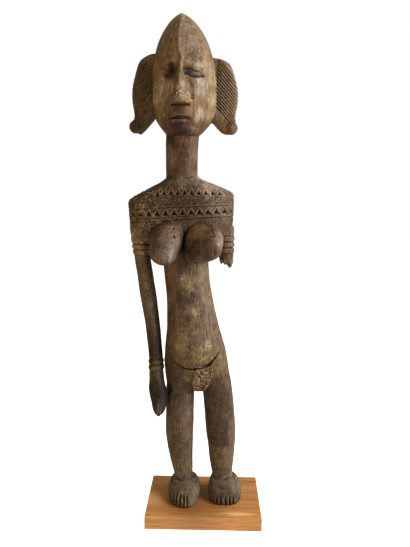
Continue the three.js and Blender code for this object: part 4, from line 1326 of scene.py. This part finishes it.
# The patinated wood: cloudy patches, mottling and the grain vary the colour of the patina with its
# painted light and shade. Dust lies in flecks and specks, most where the wood is crusted, and then
# come rubbed edges, and hollows darkened by soot and by painted shade.
material, tree, surface = new_material("patinated_wood")
where = place(tree, "ShaderNodeTexCoord").outputs["Object"]
broad, fine = grained(tree, where, (1, 1, 0.08), 95.0)
mottle = noise(tree, where, 130.0, 6.0, 0.62)
specks = noise(tree, where, 640.0, 2.0)
flecks = noise(tree, where, 280.0, 5.0, 0.7)
patches = noise(tree, where, 42.0, 4.0, 0.55)
base = place(tree, "ShaderNodeAttribute", attribute_name="patina_and_painted_light").outputs["Color"]
rub, painted_darkening, crusted = (
    place(tree, "ShaderNodeAttribute", attribute_name=name).outputs["Fac"]
    for name in ("rubbed", "soot_and_painted_shade", "crust")
)

DARKER = [0.42, 0.36, 0.3, 1]
LIGHTER = [1.6, 1.52, 1.4, 1]
for fac, low, high, most, shade in (
    (patches, 0.5, 0.66, 0.28, DARKER),
    (patches, 0.48, 0.32, 0.25, LIGHTER),
    (mottle, 0.51, 0.64, 0.5, LIGHTER),
    (mottle, 0.48, 0.37, 0.55, DARKER),
    (broad, 0.5, 0.36, 0.4, DARKER),
    (fine, 0.5, 0.37, 0.6, DARKER),
    (fine, 0.52, 0.66, 0.6, LIGHTER),
):
    base = mixed(tree, between(tree, fac, low, high, 0, most), base, shade, "MULTIPLY")
dusty = plus(tree, times(tree, crusted, 0.75), 0.12)
for fac, low, high, code in (
    (flecks, 0.47, 0.41, "1c1209"),
    (flecks, 0.54, 0.66, "8a7959"),
    (specks, 0.58, 0.7, "95835f"),
):
    base = mixed(tree, times(tree, between(tree, fac, low, high), dusty), base, paint(code))
base = mixed(tree, between(tree, rub, 0.1, 1.0, 0, 0.5), base, paint("8c7350"))
# Soot and painted shade: the darkened places go nearly black.
base = mixed(tree, between(tree, painted_darkening, 0.08, 0.8, 0, 0.92), base, paint("120803"))
tree.links.new(base, surface.inputs["Base Color"])

dull = plus(tree, between(tree, mottle, 0.3, 0.7, 0.52, 0.68), times(tree, crusted, 0.25))
tree.links.new(dull, surface.inputs["Roughness"])
surface.inputs["Specular IOR Level"].default_value = 0.16
height = plus(tree, times(tree, fine, 0.6), times(tree, mottle, 1.2))
gritty = plus(tree, times(tree, crusted, 1.6), 0.35)
height = plus(tree, height, times(tree, specks, gritty))
bump = place(tree, "ShaderNodeBump", {"Height": height, "Strength": 0.75, "Distance": 0.001})
tree.links.new(bump.outputs["Normal"], surface.inputs["Normal"])
carved.data.materials.append(material)
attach(carved, "root")
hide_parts("carved_figure")

# The plinth: one planed and oiled plank, cut square, with its arrises taken off by sandpaper. The
# grain runs across the front, round one small knot, and a pale streak lies near the front edge.
plank, tree, surface = new_material("oiled_plank")
where = place(tree, "ShaderNodeTexCoord").outputs["Object"]
broad, fine = grained(tree, where, (0.05, 1, 1), 60.0)
clouds = noise(tree, where, 22.0, 3.0)
base = mixed(tree, between(tree, broad, 0.35, 0.65), paint("946534"), paint("ad7d45"))
base = mixed(tree, between(tree, clouds, 0.45, 0.65, 0, 0.25), base, paint("905c2c"))
base = mixed(tree, between(tree, fine, 0.54, 0.38, 0, 0.55), base, paint("7c4f26"))


def plank_spot(middle, narrow, reach):
    """A mask that is 1 at a spot on the plank and falls to 0 at its reach, which is divided each
    way by how narrow the spot is."""
    away = where
    for operation, by in (("SUBTRACT", middle), ("MULTIPLY", narrow)):
        node = place(tree, "ShaderNodeVectorMath", {0: away, 1: by}, operation=operation)
        away = node.outputs["Vector"]
    node = place(tree, "ShaderNodeVectorMath", {0: away}, operation="LENGTH")
    return between(tree, node.outputs["Value"], reach, 0)


streak = plank_spot((0.041, -0.047, 0.016), (0.3, 1.3, 1), 0.01)
streak = times(tree, streak, between(tree, clouds, 0.3, 0.6))
base = mixed(tree, times(tree, streak, 0.85), base, paint("d6a86c"))
# Painted shadow darkens the middle round the feet, and painted light makes the left end pale where
# the figure would shade it. Then comes the knot. Each has its strength and its colour.
for middle, narrow, reach, strength, code in (
    ((-0.012, -0.034, 0.016), (1, 1.2, 1), 0.06, 0.85, "6f431b"),
    ((-0.064, 0.0, 0.016), (1, 0.7, 1), 0.034, 0.7, "c79a62"),
    ((0.026, -0.0495, 0.016), (0.6, 1.5, 1), 0.0035, 0.8, "7a4c22"),
):
    spot = plank_spot(middle, narrow, reach)
    base = mixed(tree, times(tree, spot, strength), base, paint(code))
tree.links.new(base, surface.inputs["Base Color"])
tree.links.new(between(tree, fine, 0.3, 0.7, 0.38, 0.55), surface.inputs["Roughness"])
bump = place(tree, "ShaderNodeBump", {"Height": fine, "Strength": 0.3, "Distance": 0.0003})
tree.links.new(bump.outputs["Normal"], surface.inputs["Normal"])
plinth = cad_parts["plinth"]
plinth.data.materials.clear()
plinth.data.materials.append(plank)

# The studio: a pale floor that runs out into a white surround, and soft lamps. The strongest
# stands to the right, a little above the chest.
FLOOR_SIDE = 6.0
FLOOR_GLOW = 0.94
floor_mesh = bpy.data.meshes.new("floor")
corners = [(x * FLOOR_SIDE, y * FLOOR_SIDE, 0) for x, y in ((-1, -1), (1, -1), (1, 1), (-1, 1))]
floor_mesh.from_pydata(corners, [], [(0, 1, 2, 3)])
floor = bpy.data.objects.new("floor", floor_mesh)
scene.collection.objects.link(floor)
pale, tree, surface = new_material("pale_floor")
surface.inputs["Base Color"].default_value = (0.9, 0.82, 0.7, 1)
surface.inputs["Roughness"].default_value = 0.9
surface.inputs["Emission Color"].default_value = grey(1)
seen = place(tree, "ShaderNodeLightPath").outputs["Is Camera Ray"]
tree.links.new(times(tree, seen, FLOOR_GLOW), surface.inputs["Emission Strength"])
floor_mesh.materials.append(pale)

# What lights the object from all round. The camera sees it as plain white.
SURROUND = 0.3
WARM = (1, 0.78, 0.53)
world = bpy.data.worlds.new("surround")
world.use_nodes = True
tree = world.node_tree
background = tree.nodes["Background"]
seen = place(tree, "ShaderNodeLightPath").outputs["Is Camera Ray"]
tree.links.new(between(tree, seen, 0, 1, SURROUND, 1), background.inputs["Strength"])
tree.links.new(mixed(tree, seen, [*WARM, 1], grey(1)), background.inputs["Color"])
scene.world = world
scene.view_settings.view_transform = "Standard"
# The lamps look at this place. Each has its own place, size, watts and colour.
MIDDLE = Vector((-0.02, 0, 0.36))
for name, spot, size, watts, colour in (
    ("key", (1.32, -0.5, 0.95), 1.2, 62.0, (1, 1, 1)),
    ("fill", (-1.0, -1.2, 0.7), 0.9, 8.0, WARM),
):
    lamp = bpy.data.objects.new(name, bpy.data.lights.new(name, "AREA"))
    lamp.data.size = size
    lamp.data.energy = watts
    lamp.data.color = colour
    lamp.location = spot
    lamp.rotation_euler = (MIDDLE - Vector(spot)).to_track_quat("-Z", "Y").to_euler()
    scene.collection.objects.link(lamp)
